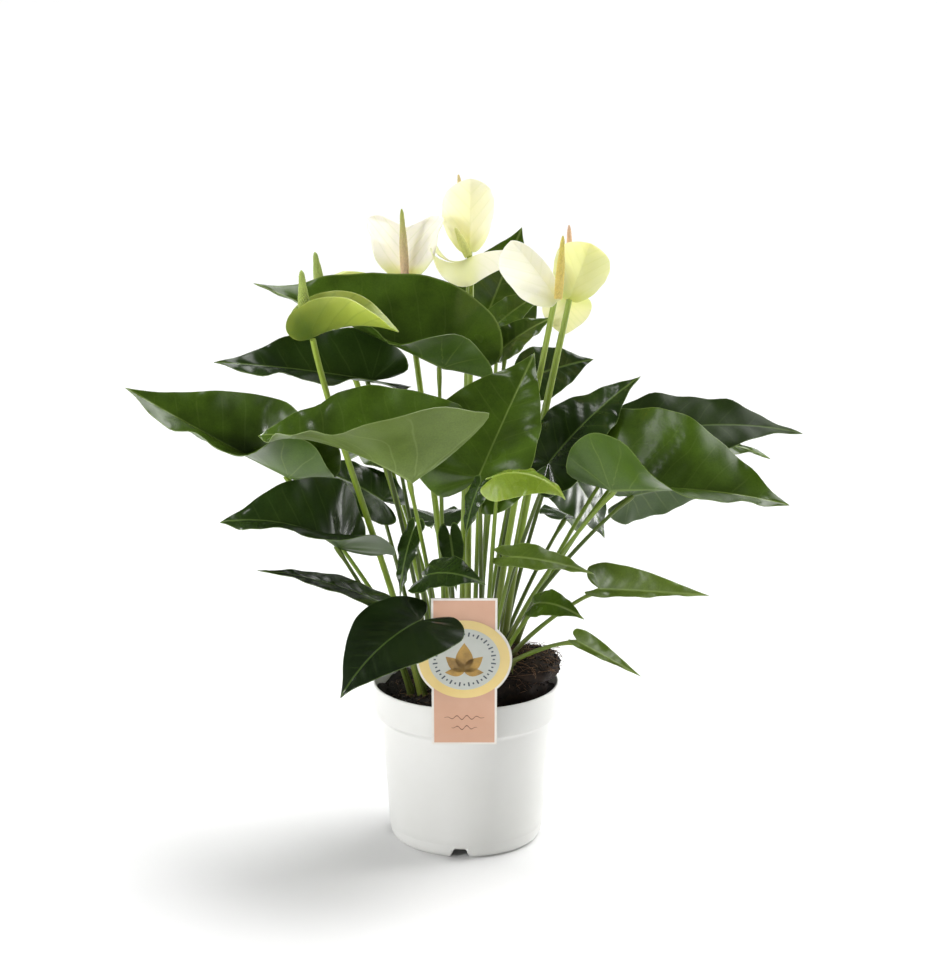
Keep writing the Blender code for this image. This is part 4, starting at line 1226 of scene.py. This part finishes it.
def litter_grower(name: str, fibres: bool) -> Grower:
    """Strew crumbs or bent fibres over the upward faces of a surface.

    Args:
        name: The tree's name.
        fibres: Bent fibres in place of crumbs.

    Returns:
        The tree, with inputs for density, size, seed, reach and finish.
    """
    grower = Grower(name, {"Density": "NodeSocketFloat", "Size": "NodeSocketFloat", "Seed": "NodeSocketInt",
                           "Reach": "NodeSocketFloat", "Finish": "NodeSocketMaterial"})
    graph = grower.graph
    given = grower.given
    facing = graph.add("ShaderNodeSeparateXYZ", "Z", {0: graph.add("GeometryNodeInputNormal", 0)})
    place = graph.add("GeometryNodeInputPosition", 0)
    flat = graph.add("ShaderNodeVectorMath", 0, {0: place, 1: (1.0, 1.0, 0.0)}, operation="MULTIPLY")
    far = graph.add("ShaderNodeVectorMath", "Value", {0: flat}, operation="LENGTH")
    upward = graph.add("FunctionNodeCompare", 0, {0: facing, 1: 0.2}, data_type="FLOAT",
                       operation="GREATER_THAN")
    within = graph.add("FunctionNodeCompare", 0, {0: far, 1: given["Reach"]}, data_type="FLOAT",
                       operation="LESS_THAN")
    chosen = graph.add("FunctionNodeBooleanMath", 0, {0: upward, 1: within}, operation="AND")
    points = graph.add("GeometryNodeDistributePointsOnFaces", "Points",
                       {"Mesh": given["Carrier"], "Selection": chosen, "Density": given["Density"],
                        "Seed": given["Seed"]})
    if fibres:
        bow = graph.add("GeometryNodeCurveQuadraticBezier", 0,
                        {"Resolution": 7, "Start": (-0.5, 0.0, 0.0), "Middle": (0.05, 0.35, 0.25),
                         "End": (0.5, 0.0, 0.02)})
        section = graph.add("GeometryNodeCurvePrimitiveCircle", 0, {"Resolution": 4, "Radius": 0.016})
        form = graph.add("GeometryNodeCurveToMesh", 0,
                         {"Curve": bow, "Profile Curve": section, "Fill Caps": True})
        turns = {0: (-0.5, -0.5, 0.0), 1: (0.5, 0.5, 2 * math.pi)}
        sizes = {0: (0.4, 0.4, 0.3), 1: (1.3, 1.3, 1.2)}
    else:
        form = graph.add("GeometryNodeMeshIcoSphere", 0, {"Radius": 0.5, "Subdivisions": 1})
        turns = {0: (0.0, 0.0, 0.0), 1: (2 * math.pi, 2 * math.pi, 2 * math.pi)}
        sizes = {0: (0.35, 0.3, 0.25), 1: (1.3, 0.9, 0.7)}
    turn = graph.add("FunctionNodeRandomValue", 0, {"Seed": given["Seed"], **turns}, data_type="FLOAT_VECTOR")
    spread = graph.add("FunctionNodeRandomValue", 0, {"Seed": graph.math("ADD", given["Seed"], 1.0), **sizes},
                       data_type="FLOAT_VECTOR")
    scale = graph.add("ShaderNodeVectorMath", 0, {0: spread, "Scale": given["Size"]}, operation="SCALE")
    grower.close(points, form, turn, scale)
    return grower


@dataclass
class Spadix:
    """The spike on a spathe: florets in the spiral that plants pack them in."""

    start: np.ndarray
    tip: np.ndarray
    thick: float
    florets: int = 360
    golden_turn: float = 137.508
    bead_overlap: float = 1.12
    bead_sink: float = 0.3

    def profile(self, t: np.ndarray) -> np.ndarray:
        """Read the spike's radius as a share of half its thickness.

        Args:
            t: Shares of its length.

        Returns:
            The radii, rounded off at the tip.
        """
        body = 0.72 + 0.28 * np.sin(math.pi * np.minimum(1, 0.25 + t)) - 0.35 * t**4
        return body * np.sqrt(np.clip(1 - np.clip((t - 0.9) / 0.1, 0, 1)**2, 0, 1))

    def build(self, name: str, grower: Grower, finish: Material) -> Object:
        """Grow the florets round the spike's axis and close it with a core.

        Args:
            name: The object's name.
            grower: The tree that sets the beads.
            finish: The material.

        Returns:
            The finished spike.
        """
        run = self.tip - self.start
        length = np.linalg.norm(run)
        axis = run / length
        side = np.cross(axis, (0.0, 1.0, 0.0))
        side /= np.linalg.norm(side)
        up = np.cross(axis, side)
        fine = np.linspace(0, 1, 400)
        area = np.cumsum(self.profile(fine) + 0.03)
        shares = (np.arange(self.florets) + 0.5) / self.florets
        t = np.interp(shares, area / area[-1], fine)
        turn = np.radians(self.golden_turn) * np.arange(self.florets)
        radial = np.cos(turn)[:, None] * side + np.sin(turn)[:, None] * up
        # the beads' middles lie a little inside the spike, and the thinner core fills what is behind them
        bead = math.sqrt(math.pi * self.thick * 0.85 * length / self.florets) * self.bead_overlap
        sink = self.bead_sink * bead
        reach = np.maximum(self.profile(t) * self.thick / 2 - sink, 0.05)
        middle = self.start + axis * (length - sink) * t[:, None] + radial * reach[:, None]
        slope = -np.gradient(self.profile(fine), fine)
        lean = np.interp(t, fine, slope) * self.thick / 2 / length
        outward = radial + axis * np.clip(lean, -3, 3)[:, None]
        random = np.random.default_rng(7)
        floret = np.stack([t, random.uniform(0, 1, self.florets), random.uniform(0.9, 1.08, self.florets)], 1)
        mesh = bpy.data.meshes.new(name + "_points")
        mesh.from_pydata(middle * MM, [], [])
        write_vectors(mesh, outward=outward, floret=floret)
        carrier = add_object(name + "_points", mesh)
        beads = grower.run(name, carrier, Bead_Size=bead * MM, Flatness=0.8, Finish=finish)
        core_t = np.linspace(0, 1, 14)
        path = self.start + axis * (length - 2 * sink) * core_t[:, None]
        radii = np.maximum(self.profile(core_t) * self.thick / 2 - 0.2 * bead, 0.1)
        core = Piece()
        core.add(*tube(path, radii, 14)[:2])
        return join(beads, [core.build(name + "_core", [finish])])


def join(item: Object, others: list[Object]) -> Object:
    """Join objects into the first one and keep its name."""
    with bpy.context.temp_override(active_object=item, selected_editable_objects=[item, *others]):
        bpy.ops.object.join()
    return item


@dataclass
class Flower:
    """Stalk, spathe and spadix, stacked with a hair's gap as in the CAD part."""

    node: str
    pose: FlowerPose
    spathe_finishes: list[Material]
    spadix_finish: Material
    stalk_finish: Material
    grower: Grower
    relief: Relief = Relief(laterals=5.0, slant=0.95, quilt=0.2, wave=0.9, waves=2.6, thickness=0.75,
                            margin_thickness=0.45, rib=0.25, rib_width=1.0)
    stalk_radii: Pair = (2.1, 1.85)

    def build(self) -> None:
        """Build the three pieces and hand them to the frame."""
        blade = Blade(self.pose)
        skin = Piece()
        BladeShell(blade, self.relief, seed=50 + int(self.node[-2:])).build(skin, 0, 1)
        spathe = skin.build(self.node + "_bract", self.spathe_finishes)
        settle(spathe, self.node + "_spathe")
        joint, _, normal = blade.midrib(np.array(SEAT_STATION))
        tip = np.array(self.pose.spadix, float)
        side = 1.0 if (tip - joint) @ normal > 0 else -1.0
        above = blade.seat(side, tip - joint, self.pose.thick / 2)
        spadix = Spadix(above, tip, self.pose.thick).build(self.node + "_spike", self.grower,
                                                           self.spadix_finish)
        settle(spadix, self.node + "_spadix")
        stem = Stem(self.pose.root, sway=self.pose.sway, steps=30)
        run = stem.path(joint)
        below = blade.seat(-side, run[-1] - run[-2], self.stalk_radii[1])
        stalk = Piece()
        stem.build(stalk, below, self.stalk_radii, 0)
        peduncle = stalk.build(self.node + "_peduncle", [self.stalk_finish])
        settle(peduncle, self.node + "_stalk")


def lathe(profile: list[Pair], sides: int) -> tuple[np.ndarray, list]:
    """Turn an outline about the pot's axis, with one point wherever it meets the axis.

    Args:
        profile: (radius, height) from the axis round to the axis.
        sides: Points in each ring.

    Returns:
        Points and faces.
    """
    points = []
    rings = []
    for radius, height in profile:
        count = sides if radius > 0 else 1
        rings.append([len(points) + step % count for step in range(sides)])
        for step in range(count):
            angle = 2 * math.pi * step / sides
            points.append((radius * math.cos(angle), radius * math.sin(angle), height))
    faces = []
    for low, high in zip(rings, rings[1:]):
        for step in range(sides):
            following = (step + 1) % sides
            loop = dict.fromkeys((low[step], low[following], high[following], high[step]))
            faces.append(tuple(loop))
    return np.array(points), faces


def densify(profile: list[Pair], longest: float) -> list[Pair]:
    """Split the long stretches of an outline, so that smooth shading stays local."""
    fine = [profile[0]]
    for start, end in zip(profile, profile[1:]):
        steps = max(1, math.ceil(math.dist(start, end) / longest))
        for step in range(1, steps + 1):
            share = step / steps
            fine.append((start[0] + (end[0] - start[0]) * share, start[1] + (end[1] - start[1]) * share))
    return fine


def cut(item: Object, cutters: list[Object]) -> None:
    """Cut shapes out of an object and remove them."""
    group = bpy.data.collections.new(item.name + "_cutters")
    for cutter in cutters:
        group.objects.link(cutter)
        cutter.hide_render = True
        cutter.display_type = "WIRE"
    modifier = item.modifiers.new("cut", "BOOLEAN")
    modifier.operation = "DIFFERENCE"
    modifier.operand_type = "COLLECTION"
    modifier.collection = group
    modifier.solver = "MANIFOLD"
    graph = bpy.context.evaluated_depsgraph_get()
    shaped = bpy.data.meshes.new_from_object(item.evaluated_get(graph))
    item.modifiers.clear()
    item.data = shaped
    for cutter in cutters:
        bpy.data.objects.remove(cutter, do_unlink=True)
    bpy.data.collections.remove(group)


@dataclass
class Pot:
    """Thin-walled nursery pot: rolled collar, tapered wall, notched foot ring, drained floor."""

    sides: int = 144
    notch_turn: float = -94.5
    notches: int = 4
    notch_height: float = 7.0
    notch_width: float = 9.0
    notch_foot_width: float = 14.0
    notch_corner: float = 2.0
    notch_span: Pair = (36.5, 54.5)
    drain_radius: float = 4.0
    drain_circle: float = 28.0
    drain_span: Pair = (6.0, 14.0)

    def profile(self) -> list[Pair]:
        """List the wall's section, from under the floor round the outside to the inner floor."""
        return [(0, 9), (41.5, 9), (41.5, 0.5), (41.9, 0.05), (42.4, 0), (44.3, 0), (45.6, 0.35), (47.2, 1.5),
                (48.2, 2.9), (48.8, 4.4), (49.15, 6.2), (49.3, 9.2), (49.35, 9.5), (49.6, 9.9), (54.15, 75.5),
                (54.45, 79.3), (54.75, 80.6), (55.4, 81.4), (58.3, 83.5), (58.9, 84.0), (59.12, 84.6),
                (59.92, 102.6), (59.95, 103.5), (59.8, 104.1), (59.4, 104.45), (59.0, 104.5), (58.7, 104.3),
                (58.58, 103.8), (57.75, 85.6), (57.5, 84.9), (53.2, 81.2), (52.8, 80.4), (48.1, 14.0),
                (47.6, 12.6), (46.6, 11.5), (45.2, 11.05), (43.0, 11), (0, 11)]

    def build(self, finish: Material) -> None:
        """Build the pot and hand it to the frame.

        Args:
            finish: The plastic.
        """
        piece = Piece()
        piece.add(*lathe(densify(self.profile(), 5.0), self.sides))
        pot = piece.build("pot_shell", [finish], sharp=40)
        cutters = [self.drain(0, 0)]
        for step in range(self.notches):
            turn = self.notch_turn + 360 * step / self.notches
            angle = math.radians(turn + 180 / self.notches)
            cutters.append(self.notch(turn))
            cutters.append(self.drain(self.drain_circle * math.cos(angle),
                                      self.drain_circle * math.sin(angle)))
        cut(pot, cutters)
        settle(pot, "pot")

    def notch(self, turn: float) -> Object:
        """Make the cutter of one arched notch in the foot ring, turned about the axis."""
        low = self.notch_foot_width / 2
        high = self.notch_width / 2
        corner = self.notch_corner
        section = [(-low - 0.6, -2.0), (low + 0.6, -2.0)]
        for step in range(7):
            angle = math.pi / 2 * step / 6
            section.append((high - corner + corner * math.cos(angle),
                            self.notch_height - corner + corner * math.sin(angle)))
        section += [(-across, height) for across, height in reversed(section[2:])]
        spin = np.array(Matrix.Rotation(math.radians(turn), 3, "Z"))
        points = [spin @ np.array([distance, across, height]) for distance in self.notch_span
                  for across, height in section]
        piece = Piece()
        piece.add(np.array(points), prism_faces(len(section)))
        return piece.build("notch", [])

    def drain(self, x: float, y: float) -> Object:
        """Make the cutter of one drain hole at a place on the floor."""
        path = np.array([(x, y, height) for height in self.drain_span])
        piece = Piece()
        piece.add(*tube(path, np.array([self.drain_radius] * 2), 28)[:2])
        return piece.build("drain", [])


@dataclass
class Soil:
    """Peat up to an uneven surface, with fibrous root lumps that stand out of it."""

    rings: int = 44
    sides: int = 150
    roughness: float = 1.1
    crust_wave: float = 13.0
    lump_wave: float = 9.0

    def rough(self, points: np.ndarray, scale: float) -> np.ndarray:
        """Sum a few crossed waves into an uneven crust.

        Args:
            points: Places.
            scale: Length of the longest wave in millimetres.

        Returns:
            Heights of about -1 to 1.
        """
        x, y, z = points.T * 2 * math.pi / scale
        height = np.sin(x + 1.3 * np.sin(0.7 * y)) * np.cos(0.9 * y + z)
        height += 0.5 * np.sin(2.3 * x - 1.7 * y + z) + 0.4 * np.cos(3.1 * y + 2.1 * x - 2 * z)
        return height / 1.9 + 0.25 * np.sin(5.3 * x + 2.9 * y) * np.cos(4.7 * y - 3.3 * z)

    def build(self, crumbs: Grower, fibres: Grower) -> None:
        """Build the peat, its lumps and its litter, and hand them to the frame.

        Args:
            crumbs: The tree that strews crumbs.
            fibres: The tree that strews fibres.
        """
        peat, lumps = PEAT.material(), ROOT_BALL.material()
        crumb, coir = CRUMB.material(), COIR.material()
        items = []
        for name, form, finish, crumb_density, fibre_density, reach in (
                ("peat_bed", self.bed, peat, 160000, 26000, 0.0535),
                ("root_ball", self.lumps, lumps, 130000, 95000, 0.0630)):
            item = form().build(name, [finish], sharp=80)
            items.append(item)
            for kind, grower, density, size, seed, within, stuff in (
                    ("_crumbs", crumbs, crumb_density, 0.0032, 3, reach, crumb),
                    ("_fibres", fibres, fibre_density, 0.012, 8, reach - 0.003, coir)):
                items.append(grower.run(name + kind, form().build("carrier", [finish]), Density=density,
                                        Size=size, Seed=seed, Reach=within, Finish=stuff))
        for item in items:
            settle(item, "soil")

    def bed(self) -> Piece:
        """Make the peat that fills the pot."""
        wall = [(0.0, 11.35), (46.5, 11.35), (47.4, 14.0), (51.9, 80.5), (57.0, 86.0), (57.6, 96.0)]
        profile = densify(wall, 12.0)
        surface = [(57.6 * (1 - step / self.rings), 100.0) for step in range(1, self.rings + 1)]
        points, faces = lathe(profile + surface, self.sides)
        top = points[:, 2] > 95.9
        level = np.array([peat_level(x, y) for x, y, _ in points[top]])
        points[top, 2] = level + self.roughness * self.rough(points[top] * (1, 1, 0), self.crust_wave)
        piece = Piece()
        piece.add(points, faces)
        return piece

    def lumps(self) -> Piece:
        """Make the lumps of root and coir, each a ball with a crust."""
        piece = Piece()
        for centre, radii in ROOT_LUMPS:
            work = bmesh.new()
            bmesh.ops.create_icosphere(work, subdivisions=5, radius=1.0)
            ball = np.array([vertex.co[:] for vertex in work.verts])
            faces = [tuple(vertex.index for vertex in face.verts) for face in work.faces]
            work.free()
            x, y, z = ball.T
            size = 1 - 0.035 * (1 + np.sin(9 * x + 4 * z) * np.cos(8 * y - 3 * z))
            points = np.array(centre) + np.array(radii) * ball * size[:, None]
            points += ball * self.roughness * self.rough(points, self.lump_wave)[:, None] * 0.7
            piece.add(points, faces)
        return piece


@dataclass
class Label:
    """Printed card: a strip with a round medallion, leaning out from the collar."""

    width: float = 40.5
    length: float = 106.0
    disc_radius: float = 29.5
    disc_drop: float = 43.5
    lean: float = 14.0
    foot_height: float = 81.5
    x: float = -1.0
    collar_bottom: float = 84.0
    collar_radius: float = 59.45
    border: float = 1.4
    card_thickness: float = 0.6
    ink_thickness: float = 0.05
    ink_depth: float = 0.1
    grey_radius: float = 22.0
    tick_radius: float = 18.2
    ticks: int = 40

    def place(self, flat: np.ndarray) -> np.ndarray:
        """Lean the flat card out.

        Args:
            flat: (across, up, out) on the card.

        Returns:
            Points in millimetres.
        """
        lean = math.radians(self.lean)
        near = (self.collar_bottom - self.foot_height) * math.tan(lean) - self.collar_radius
        across, up, out = flat.T
        return np.stack([self.x + across, near - out * math.cos(lean) - up * math.sin(lean),
                         self.foot_height - out * math.sin(lean) + up * math.cos(lean)], 1)

    def outline(self, inset: float) -> list[Pair]:
        """List the right half's outline, drawn in by an inset, from the foot up."""
        half = self.width / 2 - inset
        radius = self.disc_radius - inset
        centre = self.length - self.disc_drop
        meet = math.asin(half / radius)
        right = [(half, inset)]
        for step in range(41):
            angle = meet + (math.pi - 2 * meet) * step / 40
            right.append((radius * math.sin(angle), centre - radius * math.cos(angle)))
        return right + [(half, self.length - inset)]

    def wave(self, up: float, half: float, waves: float) -> tuple[np.ndarray, np.ndarray]:
        """Draw a flourish that swells in the middle, as its two rails.

        Args:
            up: Its height on the card.
            half: Half its length.
            waves: How many waves it makes.

        Returns:
            Its lower and its upper rail.
        """
        share = np.linspace(-1, 1, 49)
        middle = up + 1.5 * (1 - share**2) * np.sin(2 * math.pi * waves * share)
        thick = 0.12 + 0.3 * (1 - share**2)
        return np.stack([half * share, middle - thick], 1), np.stack([half * share, middle + thick], 1)

    def ladder(self, piece: Piece, left: list, right: list, level: Pair, slot: int) -> None:
        """Add a thin prism between two rails.

        Args:
            piece: The piece that gets it.
            left: Points of one rail on the card.
            right: As many points of the other.
            level: How far out its back and its front are.
            slot: Its material slot.
        """
        flat = [(*rail, out) for pair in zip(left, right) for rail in pair for out in level]
        last = 4 * (len(right) - 1)
        faces = [(0, 2, 3, 1), (last, last + 1, last + 3, last + 2)]
        for start in range(0, last, 4):
            a, b, c, d = range(start, start + 4)
            faces += [(a, a + 4, c + 4, c), (b, d, d + 4, b + 4), (a, b, b + 4, a + 4), (c, c + 4, d + 4, d)]
        piece.add(self.place(np.array(flat)), faces, slot)

    def disc(self, radius: float) -> list[Pair]:
        """List the right half of a disc about the medallion's middle."""
        centre = self.length - self.disc_drop
        turns = [math.pi * step / 48 for step in range(49)]
        return [(radius * math.sin(turn) + 0.01, centre - radius * math.cos(turn)) for turn in turns]

    def leaf(self, middle: Pair, size: float, turn: float) -> np.ndarray:
        """Draw a plain pointed leaf on the card, as flat points."""
        share = np.linspace(0, 1, 13)
        half = size * 0.26 * np.sin(math.pi * share**0.8)
        right = np.stack([half, size * share], 1)
        left = np.stack([-half, size * share], 1)[-2:0:-1]
        spin = np.array(Matrix.Rotation(math.radians(turn), 2))
        return np.concatenate([right, left]) @ spin.T + np.array(middle)

    def add_flat(self, piece: Piece, shape: np.ndarray, level: Pair, slot: int) -> None:
        """Add a thin prism over a convex outline.

        Args:
            piece: The piece that gets it.
            shape: Its outline on the card.
            level: How far out its back and its front are.
            slot: Its material slot.
        """
        flat = np.concatenate([np.column_stack([shape, np.full(len(shape), out)]) for out in level])
        piece.add(self.place(flat), prism_faces(len(shape)), slot)

    def build(self) -> None:
        """Build the card and its print, and hand it to the frame."""
        finishes = [finish.material() for finish in (CARD, PEACH_INK, YELLOW_INK, GREY_INK, SLATE_INK,
                                                     GOLD_INK, BROWN_INK)]
        piece = Piece()
        step = self.ink_thickness
        base = self.card_thickness
        sunk = base - self.ink_depth
        centre = self.length - self.disc_drop
        for slot, (right, low, high) in enumerate((
                (self.outline(0.0), 0.0, base), (self.outline(self.border), sunk, base + step),
                (self.disc(self.disc_radius - self.border), sunk, base + 2 * step),
                (self.disc(self.grey_radius), sunk, base + 3 * step))):
            self.ladder(piece, [(-across, up) for across, up in right], right, (low, high), slot)
        for number in range(self.ticks):
            spin = np.array(Matrix.Rotation(2 * math.pi * number / self.ticks, 2))
            tall = 1.5 if number % 2 else 0.7
            low, high = self.tick_radius - tall, self.tick_radius + tall
            tick = np.array([(-0.5, low), (0.5, low), (0.5, high), (-0.5, high)])
            self.add_flat(piece, tick @ spin.T + (0.0, centre), (base, base + 3.4 * step), 4)
        for turn, size in ((0, 21), (46, 16), (-46, 16), (92, 12), (-92, 12)):
            self.add_flat(piece, self.leaf((0.0, centre - 9), size, turn), (base, base + 3.6 * step), 5)
        for up, half, waves in ((20.0, 12.5, 2.0), (12.5, 8.0, 1.3)):
            self.ladder(piece, *self.wave(up, half, waves), (base, base + 1.6 * step), 6)
        settle(piece.build("label_card", finishes, sharp=30), "label")


def add_aimed(name: str, data: ID, place: Point, target: Point) -> Object:
    """Add a camera or lamp that looks from a place to a target."""
    item = add_object(name, data)
    item.location = place
    item.rotation_euler = (Vector(target) - Vector(place)).to_track_quat("-Z", "Y").to_euler()
    return item


@dataclass(frozen=True)
class Camera:
    """Where the photograph was taken from, in metres, and its lens in millimetres."""

    place: Point = (0.0016, -1.700, 0.670)
    target: Point = (0.0016, 0.0, 0.237)
    lens: float = 103.9

    def build(self) -> None:
        """Add the camera and make it the scene's own."""
        data = bpy.data.cameras.new("camera")
        data.lens = self.lens
        bpy.context.scene.camera = add_aimed("camera", data, self.place, self.target)


@dataclass(frozen=True)
class Softbox:
    """A large soft lamp, in metres and watts."""

    name: str
    place: Point
    size: Pair
    power: float
    target: Point = (0.0, 0.0, 0.2)

    def build(self) -> None:
        """Hang the lamp."""
        data = bpy.data.lights.new(self.name, "AREA")
        data.shape = "RECTANGLE"
        data.size, data.size_y = self.size
        data.energy = self.power
        add_aimed(self.name, data, self.place, self.target)


@dataclass
class Studio:
    """A flat white floor under an even glow from high behind the plant, with softboxes round it."""

    floor_size: float = 24.0
    ambient: float = 0.07
    glow: float = 5.9
    horizon: float = 1.0
    glow_from: Point = (0.41, 0.287, 0.866)
    glow_edge: Pair = (0.83, 0.94)
    horizon_edge: Pair = (0.16, 0.09)
    lamps: tuple[Softbox, ...] = (
        Softbox("left_softbox", (-1.75, -0.55, 0.55), (0.45, 0.9), 9.0),
        Softbox("right_softbox", (1.5, 0.45, 0.25), (0.35, 0.45), 10.0),
        Softbox("front_softbox", (-1.35, -1.45, 0.7), (0.35, 0.35), 15.0),
        Softbox("rim_softbox", (-1.4, 0.8, 0.8), (0.3, 0.3), 5.0),
        Softbox("spark_softbox", (-0.82, -0.22, 1.79), (0.2, 0.2), 1.8),
    )

    def build(self) -> None:
        """Lay the floor, hang the lamps and set the world and view."""
        mesh = bpy.data.meshes.new("studio_floor")
        reach = self.floor_size / 2
        mesh.from_pydata([(-reach, -reach, 0), (reach, -reach, 0), (reach, reach, 0), (-reach, reach, 0)],
                         [], [(0, 1, 2, 3)])
        mesh.materials.append(SWEEP.material())
        floor = add_object("studio_floor", mesh)
        for lamp in self.lamps:
            lamp.build()
        world = bpy.data.worlds.new("studio_world")
        world.use_nodes = True
        graph = Graph(world.node_tree)
        sky = world.node_tree.nodes["Background"]
        sky.inputs["Color"].default_value = linear("#ffffff")
        way = graph.add("ShaderNodeTexCoord", "Generated")
        near = graph.add("ShaderNodeVectorMath", "Value", {0: way, 1: self.glow_from},
                         operation="DOT_PRODUCT")
        rise = graph.add("ShaderNodeSeparateXYZ", "Z", {0: way})
        glow = graph.ramp(near, *self.glow_edge, self.ambient, self.glow, smooth=True)
        level = graph.ramp(rise, *self.horizon_edge, 0.0, self.horizon, smooth=True)
        graph.feed(sky, Strength=graph.math("MAXIMUM", glow, level))
        bpy.context.scene.world = world
        bpy.context.scene.view_settings.view_transform = "Standard"


def main() -> None:
    """Build the plant in order, then the studio round it."""
    logging.basicConfig(level=logging.INFO, format="%(name)s: %(message)s")
    Pot().build(POT_SKIN.material())
    Soil().build(litter_grower("crumbs", fibres=False), litter_grower("fibres", fibres=True))
    Label().build()
    shared = SharedFinishes()
    for number, pose in LEAVES.items():
        Leaf(f"leaf_{number:02}", pose, shared).build()
    beads = bead_grower()
    for number, pose in FLOWERS.items():
        Flower(f"flower_{number:02}", pose, SPATHES[number].both(), SPADICES[number].material(), shared.stalk,
               beads).build()
    Studio().build()
    Camera().build()
    bpy.context.view_layer.update()


if __name__ == "__main__":
    main()
